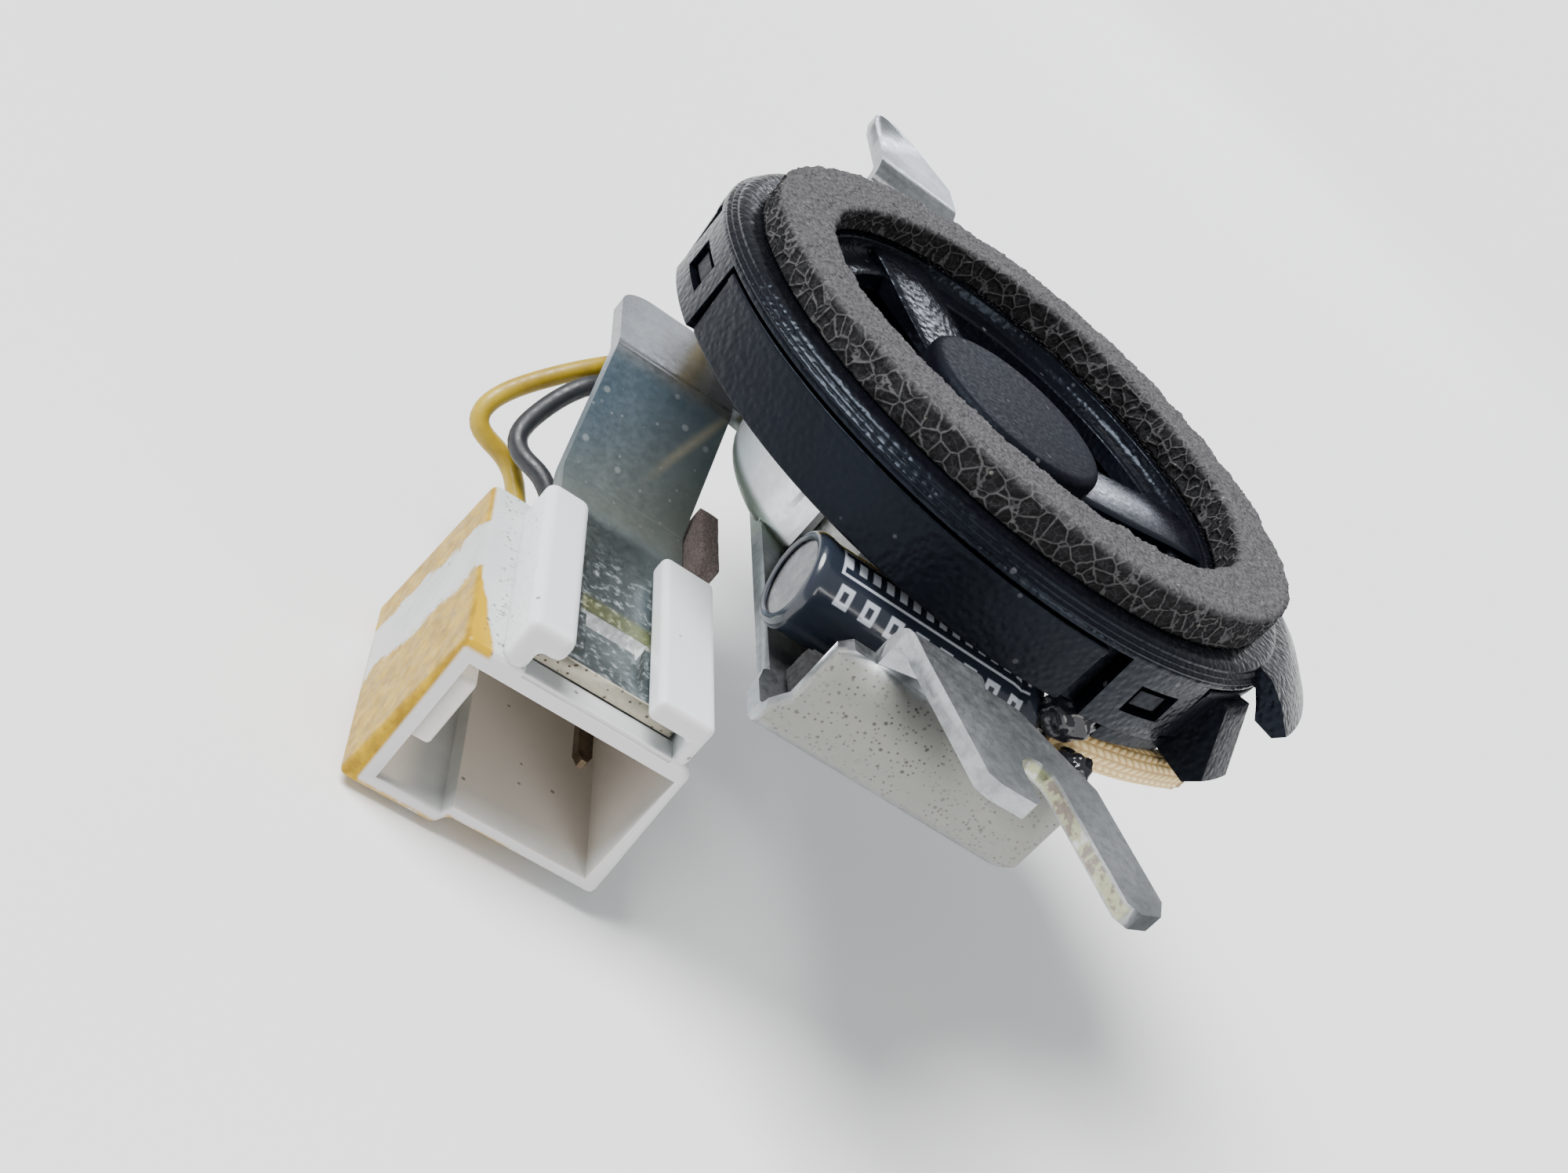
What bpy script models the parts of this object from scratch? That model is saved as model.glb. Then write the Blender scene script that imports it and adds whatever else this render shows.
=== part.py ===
"""Car tweeter on a folded sheet-metal bracket, with its capacitor and a clip-on connector.

The speaker's axis is Z and its front faces +Z. The origin lies on that axis, on the rear
face of the bracket's base plate. X runs across the bracket and Y along it. Sizes below are
in millimetres, and every mesh is written in metres.
"""
import math

import bmesh
import bpy
from mathutils import Vector

MM = 0.001
GAP = 0.3              # clearance between neighbouring pieces
TRAVEL_GAP = 0.35      # clearance at each side of the surround's edge
HEAD_SEGMENTS = 56     # facets round the outer head
INNER_SEGMENTS = 36    # facets round the pieces inside it

# Head: levels above the base plate's rear face, and radii about the speaker's axis.
SEAM = 14.2            # joint between the front cap and the rear housing
FACE = 15.93           # flat front face of the cap, under the foam
FOAM_TOP = 18.83
FOAM_OUTER_R = 22.7
FOAM_INNER_R = 18.0
RIM_R = 25.0
WALL_BOTTOM = 9.3
WALL_BOTTOM_R = 24.64
WALL_INNER_R = 23.0
SKIRT_BOTTOM = 7.85    # short skirt under the wall, beside the lug
LEG_INNER_R = 24.0
FLOOR_TOP = 10.6
FLOOR_HOLE_R = 12.8
LEDGE_TOP = 10.8
OUTLET_R = 14.9        # outer edge of the three sound outlets
BUTTON_R = 7.63
BUTTON_TOP = 16.07
SPOKE_WIDTH = 6.6
SPOKE_AZIMUTHS = (0.0, 120.0, 240.0)
LEG_AZIMUTHS = (-66.5, -174.5, 59.5)
LEG_WIDTH_DEG = 19.0
LEG_WINDOW_DEG = 9.0
LEG_SLOT_DEG = 4.0     # open slot at one side of each leg

# Motor, a drawn steel pot with a disc magnet inside.
POT_R = 12.4
POT_INNER_R = 10.8
POT_BOTTOM = 1.5
POT_FLOOR = 3.1
POT_TOP = 9.9
MAGNET_R = 9.0
MAGNET_HEIGHT = 4.0
POLE_R = 9.3
FORMER_R = 9.7
FORMER_WALL = 0.15
FORMER_BOTTOM = 6.6
FORMER_TOP = 10.9
COIL_R = 10.4
COIL_BOTTOM = 7.5
COIL_TOP = 10.1
DOME_R = 9.6
DOME_BASE = 11.1
DOME_TOP = 13.05
DOME_WALL = 0.2
SURROUND_R = 16.9
SURROUND_WALL = 0.2

# Bracket, one folded blank of zinc-plated sheet.
SHEET = 1.2
BEND_R = 0.8           # inside radius of every fold
NEAR_FLANGE_Y = -31.0  # outer face
FAR_FLANGE_Y = 31.3    # inner face
NEAR_EAR_TOP = 11.2
FAR_EAR_TOP = 16.7
BASE_HALF_WIDTH = 11.8
ARM_LEFT = -24.0
ARM_RIGHT = -14.0
ARM_NEAR_Y = 5.6
ARM_FAR_Y = 15.2
TONGUE_TOP = -4.8
TONGUE_END_Y = -26.0
RISER_FOOT_Y = -3.9
COLLAR_R = 14.2
COLLAR_TOP = 9.0
FORK_AXIS_DEG = -68.0  # direction in which the near ear's fork points
FORK_ACROSS = (-20.8, -17.2, -14.2, -10.6)   # left edge, slot, slot, right edge
FORK_ROOT = 33.5
FORK_SHORT_END = 36.6
FORK_LONG_END = 43.6

# Connector, a moulded socket that slides on the bracket's tongue.
CONN_FRONT_Y = -28.0
CONN_REAR_Y = -9.75
RAIL_REAR_Y = -11.5
POCKET_FLOOR = -6.35
CAVITY_TOP = -7.3
CAVITY_BACK_Y = -12.2
PIN_Z = -12.1
PIN_XS = (-16.3, -22.3)
PIN_TIPS_Y = (-24.0, -16.5)
PIN_WIDTH = 1.1
PIN_HEIGHT = 0.64
PIN_BORE_R = 1.0

# Capacitor and wiring.
CAP_R = 3.0
CAP_SLEEVE_R = 3.25
CAP_LEFT_X = -12.85
CAP_RIGHT_X = 4.7
CAP_Y = -21.0
CAP_Z = 5.2
WIRE_DIAMETER = 1.46
LEAD_DIAMETER = 0.6
SLEEVE_DIAMETER = 2.6
SLEEVE_BORE = 1.2


def clear_scene():
    for item in list(bpy.data.objects):
        bpy.data.objects.remove(item, do_unlink=True)


def make_material(name, colour, roughness, metallic=0.0):
    """Principled material of one flat colour."""
    material = bpy.data.materials.new(name)
    material.use_nodes = True
    shader = material.node_tree.nodes["Principled BSDF"]
    shader.inputs["Base Color"].default_value = (*colour, 1.0)
    shader.inputs["Roughness"].default_value = roughness
    shader.inputs["Metallic"].default_value = metallic
    return material


def make_empty(name, position):
    empty = bpy.data.objects.new(name, None)
    empty.location = Vector(position) * MM
    empty.empty_display_size = 0.01
    bpy.context.collection.objects.link(empty)
    bpy.context.view_layer.update()
    return empty


def make_object(name, shape, material, parent=None, sharp_deg=35.0):
    """Object from a bmesh that is written in world coordinates."""
    bmesh.ops.recalc_face_normals(shape, faces=shape.faces)
    mesh = bpy.data.meshes.new(name)
    shape.to_mesh(mesh)
    shape.free()
    mesh.shade_smooth()
    mesh.set_sharp_from_angle(angle=math.radians(sharp_deg))
    mesh.materials.append(material)
    piece = bpy.data.objects.new(name, mesh)
    bpy.context.collection.objects.link(piece)
    if parent is not None:
        piece.parent = parent
        piece.matrix_parent_inverse = parent.matrix_world.inverted()
    return piece


def turned(profile, segments=64, start=0.0, sweep=360.0):
    """Turn a closed (radius, height) outline about Z, all round or through a sector."""
    shape = bmesh.new()
    whole = sweep == 360.0
    count = segments if whole else segments + 1
    on_axis = {}
    rings = []
    for step in range(count):
        angle = math.radians(start + sweep * step / segments)
        ring = []
        for index, (radius, height) in enumerate(profile):
            if radius == 0.0 and index in on_axis:
                ring.append(on_axis[index])
                continue
            place = (radius * math.cos(angle), radius * math.sin(angle), height)
            vertex = shape.verts.new(Vector(place) * MM)
            if radius == 0.0:
                on_axis[index] = vertex
            ring.append(vertex)
        rings.append(ring)
    for step in range(segments):
        this, following = rings[step], rings[(step + 1) % count]
        for index in range(len(profile)):
            after = (index + 1) % len(profile)
            loop = [this[index], this[after], following[after], following[index]]
            corners = list(dict.fromkeys(loop))
            if len(corners) > 2:
                shape.faces.new(corners)
    if not whole:
        shape.faces.new(rings[0])
        shape.faces.new(list(reversed(rings[-1])))
    return shape


def prism(outline, low, high, across="Z"):
    """Extrude a closed outline from low to high along X, Y or Z.

    The outline's two coordinates are the other two axes, in X, Y, Z order.
    """
    shape = bmesh.new()
    ends = []
    for level in (low, high):
        ring = []
        for first, second in outline:
            place = {"X": (level, first, second),
                     "Y": (first, level, second),
                     "Z": (first, second, level)}[across]
            ring.append(shape.verts.new(Vector(place) * MM))
        ends.append(ring)
    shape.faces.new(ends[0])
    shape.faces.new(list(reversed(ends[1])))
    for index in range(len(outline)):
        after = (index + 1) % len(outline)
        shape.faces.new([ends[0][index], ends[1][index], ends[1][after], ends[0][after]])
    return shape


def box(low, high):
    outline = [(low[0], low[1]), (high[0], low[1]), (high[0], high[1]), (low[0], high[1])]
    return prism(outline, low[2], high[2])


def combine(piece, shape, operation):
    """Join a shape to a piece, or cut it out of it."""
    tool = make_object("tool", shape, piece.data.materials[0])
    modifier = piece.modifiers.new("shape", "BOOLEAN")
    modifier.operation = operation
    modifier.solver = "EXACT"
    modifier.object = tool
    graph = bpy.context.evaluated_depsgraph_get()
    result = bpy.data.meshes.new_from_object(piece.evaluated_get(graph))
    piece.modifiers.remove(modifier)
    piece.data = result
    bpy.data.objects.remove(tool, do_unlink=True)


def add(piece, shape):
    combine(piece, shape, "UNION")


def cut(piece, shape):
    combine(piece, shape, "DIFFERENCE")


def arc(centre, radius, start, end, steps):
    """Points on a circle's arc, from the start angle to the end angle in degrees."""
    points = []
    for step in range(steps + 1):
        angle = math.radians(start + (end - start) * step / steps)
        points.append((centre[0] + radius * math.cos(angle), centre[1] + radius * math.sin(angle)))
    return points


def folded_outline(corners, thickness, inside_radius, steps=4):
    """Outline of a sheet's edge: a polyline with rounded folds, given its thickness.

    The corners lie on the sheet's middle plane.
    """
    middle_radius = inside_radius + thickness / 2
    stations = [(Vector(corners[0]), (Vector(corners[1]) - Vector(corners[0])).normalized())]
    for before, corner, after in zip(corners, corners[1:], corners[2:]):
        corner = Vector(corner)
        incoming = (corner - Vector(before)).normalized()
        outgoing = (Vector(after) - corner).normalized()
        turn = incoming.angle_signed(outgoing)
        reach = middle_radius * math.tan(abs(turn) / 2)
        side = -1.0 if turn > 0 else 1.0
        normal = Vector((-incoming.y, incoming.x)) * side
        centre = corner - incoming * reach + normal * middle_radius
        for step in range(steps + 1):
            angle = -turn * step / steps
            turned_in = Vector((incoming.x * math.cos(angle) - incoming.y * math.sin(angle),
                                incoming.x * math.sin(angle) + incoming.y * math.cos(angle)))
            across = Vector((-turned_in.y, turned_in.x)) * side
            stations.append((centre - across * middle_radius, turned_in))
    last = Vector(corners[-1])
    stations.append((last, (last - Vector(corners[-2])).normalized()))
    left = []
    right = []
    for point, heading in stations:
        offset = Vector((-heading.y, heading.x)) * (thickness / 2)
        left.append(tuple(point + offset))
        right.append(tuple(point - offset))
    return left + list(reversed(right))


def smooth_route(points, spacing):
    """Points about a spacing apart on a smooth curve through the given points."""
    knots = [Vector(point) for point in points]
    padded = [knots[0] * 2 - knots[1]] + knots + [knots[-1] * 2 - knots[-2]]
    route = []
    for index in range(1, len(padded) - 2):
        p0, p1, p2, p3 = padded[index - 1:index + 3]
        count = max(1, round((p2 - p1).length / spacing))
        for step in range(count):
            t = step / count
            route.append(0.5 * (2 * p1 + (p2 - p0) * t
                                + (2 * p0 - 5 * p1 + 4 * p2 - p3) * t ** 2
                                + (3 * p1 - p0 - 3 * p2 + p3) * t ** 3))
    route.append(knots[-1])
    return route


def make_tube(name, points, diameter, material, parent=None):
    """Round wire along a smooth curve, as a bevelled curve with closed ends."""
    route = smooth_route(points, 2.5 * diameter if diameter > 1.0 else 1.6)
    curve = bpy.data.curves.new(name, "CURVE")
    curve.dimensions = "3D"
    curve.bevel_depth = diameter / 2 * MM
    curve.bevel_resolution = 2
    curve.use_fill_caps = True
    spline = curve.splines.new("POLY")
    spline.points.add(len(route) - 1)
    for target, place in zip(spline.points, route):
        target.co = (*(place * MM), 1.0)
    curve.materials.append(material)
    piece = bpy.data.objects.new(name, curve)
    bpy.context.collection.objects.link(piece)
    if parent is not None:
        piece.parent = parent
        piece.matrix_parent_inverse = parent.matrix_world.inverted()
    return piece


def hose(points, outer, inner, spacing, sides=10):
    """Hollow tube along a smooth curve."""
    route = smooth_route(points, spacing)
    shape = bmesh.new()
    up = Vector((0.0, 0.0, 1.0))
    rings = []
    for index, place in enumerate(route):
        heading = route[min(index + 1, len(route) - 1)] - route[max(index - 1, 0)]
        side = heading.cross(up).normalized()
        over = side.cross(heading).normalized()
        for diameter in (outer, inner):
            ring = []
            for step in range(sides):
                angle = 2 * math.pi * step / sides
                offset = (side * math.cos(angle) + over * math.sin(angle)) * (diameter / 2)
                ring.append(shape.verts.new((place + offset) * MM))
            rings.append(ring)
    for index in range(0, len(rings) - 2):
        for step in range(sides):
            after = (step + 1) % sides
            shape.faces.new([rings[index][step], rings[index][after],
                             rings[index + 2][after], rings[index + 2][step]])
    for start in (0, len(rings) - 2):
        for step in range(sides):
            after = (step + 1) % sides
            shape.faces.new([rings[start][step], rings[start][after],
                             rings[start + 1][after], rings[start + 1][step]])
    return shape


def sector(azimuth, width_deg, low, high, inner, outer, steps=4):
    """Block between two radii, two heights and two azimuths."""
    profile = [(inner, low), (outer, low), (outer, high), (inner, high)]
    return turned(profile, steps, azimuth - width_deg / 2, width_deg)


# ---- head ----

def front_cap(material, parent):
    """Front frame: rim, three spokes, centre button, snap legs and the hook."""
    ring = [(RIM_R, SEAM + 0.2), (RIM_R, SEAM + 0.75), (24.6, SEAM + 1.1), (24.3, FACE),
            (17.6, FACE), (17.3, SEAM + 0.5), (OUTLET_R, SEAM + 0.5), (OUTLET_R, SEAM - 0.8),
            (18.4, SEAM - 0.8), (18.4, SEAM + 0.4), (21.6, SEAM + 0.4), (21.6, SEAM - 1.4),
            (22.7, SEAM - 1.4), (22.7, SEAM + 0.2)]
    cap = make_object("front_cap", turned(ring, HEAD_SEGMENTS), material, parent)
    spoke_top = SEAM + 0.42
    spoke_bottom = SEAM - 0.7
    for azimuth in SPOKE_AZIMUTHS:
        heading = Vector((math.cos(math.radians(azimuth)), math.sin(math.radians(azimuth))))
        side = Vector((-heading.y, heading.x)) * (SPOKE_WIDTH / 2)
        outline = [tuple(heading * 2.0 - side), tuple(heading * 15.4 - side),
                   tuple(heading * 15.4 + side), tuple(heading * 2.0 + side)]
        add(cap, prism(outline, spoke_bottom, spoke_top))
    button = [(0.0, BUTTON_TOP), (7.1, BUTTON_TOP), (7.5, BUTTON_TOP - 0.15),
              (BUTTON_R, BUTTON_TOP - 0.5), (BUTTON_R, SEAM + 0.3), (3.4, SEAM + 0.3),
              (3.4, spoke_bottom + 0.1), (0.0, spoke_bottom + 0.1)]
    add(cap, turned(button, INNER_SEGMENTS))
    hook = [(24.3, SEAM + 0.35), (25.2, SEAM + 0.25), (26.6, SEAM - 1.2), (28.2, SEAM - 1.2),
            (28.7, SEAM - 0.4), (25.3, SEAM + 1.25), (24.3, SEAM + 1.35)]
    add(cap, turned(hook, 6, -40.0, 34.0))
    for azimuth in LEG_AZIMUTHS:
        add(cap, sector(azimuth, LEG_WIDTH_DEG, WALL_BOTTOM, SEAM + 0.45, LEG_INNER_R, 24.95))
        cut(cap, sector(azimuth + 0.4, LEG_WINDOW_DEG, SEAM - 3.4, SEAM - 1.2,
                        LEG_INNER_R - 1.0, RIM_R + 1.0))
    return cap


def rear_housing(material, parent):
    """Moulded basket: wall, floor, diaphragm ledge, leg slots, catches, a lug and its skirt."""
    top = SEAM - 0.1
    profile = [(RIM_R, top), (WALL_BOTTOM_R, WALL_BOTTOM), (FLOOR_HOLE_R, WALL_BOTTOM),
               (FLOOR_HOLE_R, FLOOR_TOP), (14.4, FLOOR_TOP), (14.4, LEDGE_TOP),
               (17.2, LEDGE_TOP), (17.2, FLOOR_TOP), (WALL_INNER_R, FLOOR_TOP),
               (WALL_INNER_R, top)]
    housing = make_object("rear_housing", turned(profile, HEAD_SEGMENTS), material, parent)
    recess = LEG_INNER_R - GAP
    slot_width = LEG_WIDTH_DEG + LEG_SLOT_DEG + 1.6
    for azimuth in LEG_AZIMUTHS:
        cut(housing, sector(azimuth - LEG_SLOT_DEG / 2 + 0.4, slot_width, WALL_BOTTOM - 0.6,
                            SEAM + 0.6, recess, RIM_R + 1.0, 6))
        add(housing, sector(azimuth + 0.4, LEG_WINDOW_DEG - 3.0, SEAM - 2.9, SEAM - 1.7,
                            recess - 0.2, recess + 0.9))
    lug = [(24.2, SEAM - 0.9), (25.7, SEAM - 0.6), (28.1, SEAM - 5.2), (27.2, SEAM - 6.3),
           (24.2, SEAM - 6.1)]
    add(housing, turned(lug, 3, -50.5, 9.5))
    skirt = [(22.4, SKIRT_BOTTOM), (24.4, SKIRT_BOTTOM), (24.4, WALL_BOTTOM - GAP),
             (recess - 0.1, WALL_BOTTOM - GAP), (recess - 0.1, WALL_BOTTOM + 0.5),
             (22.4, WALL_BOTTOM + 0.5)]
    add(housing, turned(skirt, 5, -69.0, 19.0))
    for x, y in terminal_places():
        cut(housing, box((x - 0.65, y - 1.5, WALL_BOTTOM - 1.0), (x + 0.65, y + 1.5, FLOOR_TOP + 1.0)))
    return housing


def terminal_places():
    """Centres of the two solder tags, on the floor of the housing."""
    radius = 20.2
    return [(radius * math.cos(math.radians(a)), radius * math.sin(math.radians(a)))
            for a in (-29.0, -9.0)]


def foam_gasket(material, parent):
    profile = [(FOAM_OUTER_R, FACE + GAP), (FOAM_OUTER_R, FOAM_TOP - 0.4),
               (FOAM_OUTER_R - 0.5, FOAM_TOP), (FOAM_INNER_R + 0.5, FOAM_TOP),
               (FOAM_INNER_R, FOAM_TOP - 0.4), (FOAM_INNER_R, FACE + GAP)]
    return make_object("foam_gasket", turned(profile, INNER_SEGMENTS), material, parent)


def yoke_cup(material, parent):
    profile = [(0.0, POT_BOTTOM), (POT_R - 0.7, POT_BOTTOM), (POT_R, POT_BOTTOM + 0.7),
               (POT_R, POT_TOP), (POT_INNER_R, POT_TOP), (POT_INNER_R, POT_FLOOR),
               (0.0, POT_FLOOR)]
    return make_object("yoke_cup", turned(profile, INNER_SEGMENTS), material, parent)


def disc(name, radius, low, high, material, parent, chamfer=0.2, segments=32):
    profile = [(0.0, low), (radius - chamfer, low), (radius, low + chamfer),
               (radius, high - chamfer), (radius - chamfer, high), (0.0, high)]
    return make_object(name, turned(profile, segments), material, parent)


def ring(name, inner, outer, low, high, material, parent, segments=INNER_SEGMENTS):
    profile = [(inner, low), (outer, low), (outer, high), (inner, high)]
    return make_object(name, turned(profile, segments), material, parent)


def dome_diaphragm(material, parent):
    """Shallow dome with a flat collar that the voice coil's former is glued to."""
    rise = DOME_TOP - DOME_BASE - 0.15
    curve_radius = (DOME_R ** 2 + rise ** 2) / (2 * rise)
    half_angle = math.degrees(math.asin(DOME_R / curve_radius))
    centre = (0.0, DOME_TOP - curve_radius)
    outer = arc(centre, curve_radius, 90.0, 90.0 - half_angle, 4)
    inner = arc(centre, curve_radius - DOME_WALL, 90.0 - half_angle, 90.0, 4)
    outer[0] = (0.0, DOME_TOP)
    inner[-1] = (0.0, DOME_TOP - DOME_WALL)
    collar = [(DOME_R + 0.35, DOME_BASE + 0.15), (DOME_R + 0.35, DOME_BASE)]
    return make_object("dome_diaphragm", turned(outer + collar + inner, INNER_SEGMENTS), material, parent)


def surround(material, parent):
    """Half-roll that lets the dome move, with the flat edge by which it is held."""
    low = LEDGE_TOP + TRAVEL_GAP
    roll_centre = (12.0, low)
    outer = arc(roll_centre, 1.7, 180.0, 0.0, 5)
    inner = arc(roll_centre, 1.7 - SURROUND_WALL, 0.0, 180.0, 5)
    outer = [(r, low + 0.6 * (z - low) + SURROUND_WALL) for r, z in outer]
    inner = [(r, low + 0.6 * (z - low)) for r, z in inner]
    rim = [(SURROUND_R, low + SURROUND_WALL), (SURROUND_R, low)]
    return make_object("surround", turned(outer + rim + inner, INNER_SEGMENTS), material, parent)


def terminal_tag(name, place, material, parent):
    x, y = place
    return make_object(name, box((x - 0.3, y - 1.1, 6.9), (x + 0.3, y + 1.1, 12.3)), material, parent)


def solder_blob(name, place, low, material, parent):
    x, y = place
    shape = turned([(0.0, low), (0.7, low + 0.1), (0.95, low + 0.45), (0.6, low + 0.85),
                    (0.0, low + 0.95)], 12)
    bmesh.ops.translate(shape, verts=shape.verts, vec=Vector((x, y, 0.0)) * MM)
    return make_object(name, shape, material, parent, 60.0)


# ---- bracket ----

def fork_point(along, across):
    """Plan position from the near ear's own directions, along the fork and across it."""
    heading = math.radians(FORK_AXIS_DEG)
    ahead = Vector((math.cos(heading), math.sin(heading)))
    sideways = Vector((-ahead.y, ahead.x))
    return tuple(ahead * along + sideways * across)


def mounting_bracket(material, parent):
    """Folded blank: base, two flanges with ears, pot collar, arm, riser and tongue."""
    half = SHEET / 2
    flange_near = NEAR_FLANGE_Y + half
    flange_far = FAR_FLANGE_Y + half
    spine = [(-48.0, NEAR_EAR_TOP - half), (flange_near, NEAR_EAR_TOP - half),
             (flange_near, half), (flange_far, half),
             (flange_far, FAR_EAR_TOP - half), (47.0, FAR_EAR_TOP - half)]
    strip = folded_outline(spine, SHEET, BEND_R)
    blank = make_object("mounting_bracket", prism(strip, ARM_LEFT, BASE_HALF_WIDTH, "X"),
                        material, parent)
    left_end = ARM_LEFT - 1.0
    right_end = BASE_HALF_WIDTH + 1.0

    # Plan of the base plate, with the arm on its left.
    near_left = [(left_end, -34.0), (-12.7, -34.0), (-12.7, -27.0), (-12.3, -25.6),
                 (-BASE_HALF_WIDTH, -25.2), (-BASE_HALF_WIDTH, 5.0), (-12.6, 6.2),
                 (ARM_RIGHT, 6.6), (left_end, 6.6)]
    corner = arc((ARM_LEFT + 2.8, ARM_FAR_Y - 2.8), 2.8, 180.0, 90.0, 5)
    far_left = [(left_end, ARM_FAR_Y - 2.8)] + corner + [
        (-12.8, ARM_FAR_Y), (-BASE_HALF_WIDTH, ARM_FAR_Y + 1.0), (-BASE_HALF_WIDTH, 36.0),
        (left_end, 36.0)]
    right = [(6.5, -34.0), (right_end, -34.0), (right_end, 36.0), (6.5, 36.0), (6.5, 28.0),
             (BASE_HALF_WIDTH, 21.0), (BASE_HALF_WIDTH, -21.0), (6.5, -28.0)]
    for outline in (near_left, far_left, right):
        cut(blank, prism(outline, -1.0, 2.05))

    # Elevation of the near flange, under and beside its ear's neck.
    near_flange_left = [(left_end, 2.0), (-12.7, 2.0), (-11.95, 3.1), (-11.95, 7.4),
                        (-11.3, 8.1), (-9.75, 8.1), (-9.75, 13.0), (left_end, 13.0)]
    near_flange_right = [(4.3, -0.5), (5.6, 0.25), (6.5, 1.5), (6.5, 5.8), (4.5, 6.6),
                         (4.5, 7.5), (-4.6, 7.5), (-4.6, 13.0), (right_end, 13.0),
                         (right_end, -0.5)]
    for outline in (near_flange_left, near_flange_right):
        cut(blank, prism(outline, -32.6, -28.95, "Y"))

    # Elevation of the far flange, which narrows up to its ear.
    far_flange_left = [(left_end, 2.0), (-BASE_HALF_WIDTH, 2.0), (-BASE_HALF_WIDTH, 7.5),
                       (-9.6, 9.5), (-9.6, 18.0), (left_end, 18.0)]
    far_flange_right = [(6.5, -0.5), (6.5, 7.5), (-1.6, 13.0), (-1.6, 18.0),
                        (right_end, 18.0), (right_end, -0.5)]
    for outline in (far_flange_left, far_flange_right):
        cut(blank, prism(outline, 29.4, 34.0, "Y"))

    # Plan of the near ear: an open fork with one long and one short prong.
    edge_left, slot_left, slot_right, edge_right = FORK_ACROSS
    near_ear = [(left_end, NEAR_FLANGE_Y), (-9.75, NEAR_FLANGE_Y), fork_point(27.4, edge_left),
                fork_point(FORK_SHORT_END - 0.6, edge_left),
                fork_point(FORK_SHORT_END, edge_left + 0.7),
                fork_point(FORK_SHORT_END + 0.8, slot_left - 0.6),
                fork_point(FORK_SHORT_END + 0.4, slot_left)]
    near_ear += [fork_point(FORK_ROOT + 0.9, slot_left), fork_point(FORK_ROOT, slot_left + 0.9),
                 fork_point(FORK_ROOT, slot_right - 0.9), fork_point(FORK_ROOT + 0.9, slot_right),
                 fork_point(FORK_LONG_END - 0.4, slot_right),
                 fork_point(FORK_LONG_END + 0.2, slot_right + 0.8),
                 fork_point(FORK_LONG_END, edge_right - 1.0),
                 fork_point(FORK_LONG_END - 1.2, edge_right),
                 fork_point(34.5, edge_right), (-4.6, NEAR_FLANGE_Y - 0.1),
                 (-4.6, NEAR_FLANGE_Y), (right_end, NEAR_FLANGE_Y), (right_end, -49.0),
                 (left_end, -49.0)]
    cut(blank, prism(near_ear, NEAR_EAR_TOP - 3.0, NEAR_EAR_TOP + 1.0))

    # Plan of the far ear, a tapering finger.
    far_flange_outer = FAR_FLANGE_Y + SHEET
    far_ear = [(left_end, far_flange_outer), (-9.6, far_flange_outer), (-9.6, 41.0),
               (-9.1, 44.4), (-8.3, 45.4), (-7.0, 45.6), (-5.6, 44.3), (-3.9, 41.7),
               (-1.6, 37.8), (-1.6, far_flange_outer), (right_end, far_flange_outer),
               (right_end, 48.0), (left_end, 48.0)]
    cut(blank, prism(far_ear, FAR_EAR_TOP - 3.0, FAR_EAR_TOP + 1.0))

    # Collar around the pot: a curved wing at each side of the base.
    fold = arc((COLLAR_R - 2.0, 2.0), 2.0, -90.0, 0.0, 4)
    inner_fold = arc((COLLAR_R - 2.0, 2.0), BEND_R, 0.0, -90.0, 4)
    collar = [(10.5, 0.0)] + fold + [(COLLAR_R, COLLAR_TOP), (COLLAR_R - SHEET, COLLAR_TOP)]
    collar += inner_fold + [(10.5, SHEET)]
    for start in (135.0, -45.0):
        add(blank, turned(collar, 16, start, 90.0))

    # Riser and tongue, folded down from the arm.
    arm = [(9.0, half), (ARM_NEAR_Y, half), (RISER_FOOT_Y, TONGUE_TOP - half),
           (TONGUE_END_Y, TONGUE_TOP - half)]
    add(blank, prism(folded_outline(arm, SHEET, 1.4), ARM_LEFT, ARM_RIGHT, "X"))
    cut(blank, box((-21.2, -25.0, -7.0), (-16.8, -20.0, -4.0)))
    lance = [(-25.3, TONGUE_TOP), (-20.3, TONGUE_TOP - 0.7), (-20.3, TONGUE_TOP - 1.6),
             (-25.3, TONGUE_TOP - SHEET)]
    add(blank, prism(lance, -20.9, -17.1, "X"))
    return blank


# ---- connector ----

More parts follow.
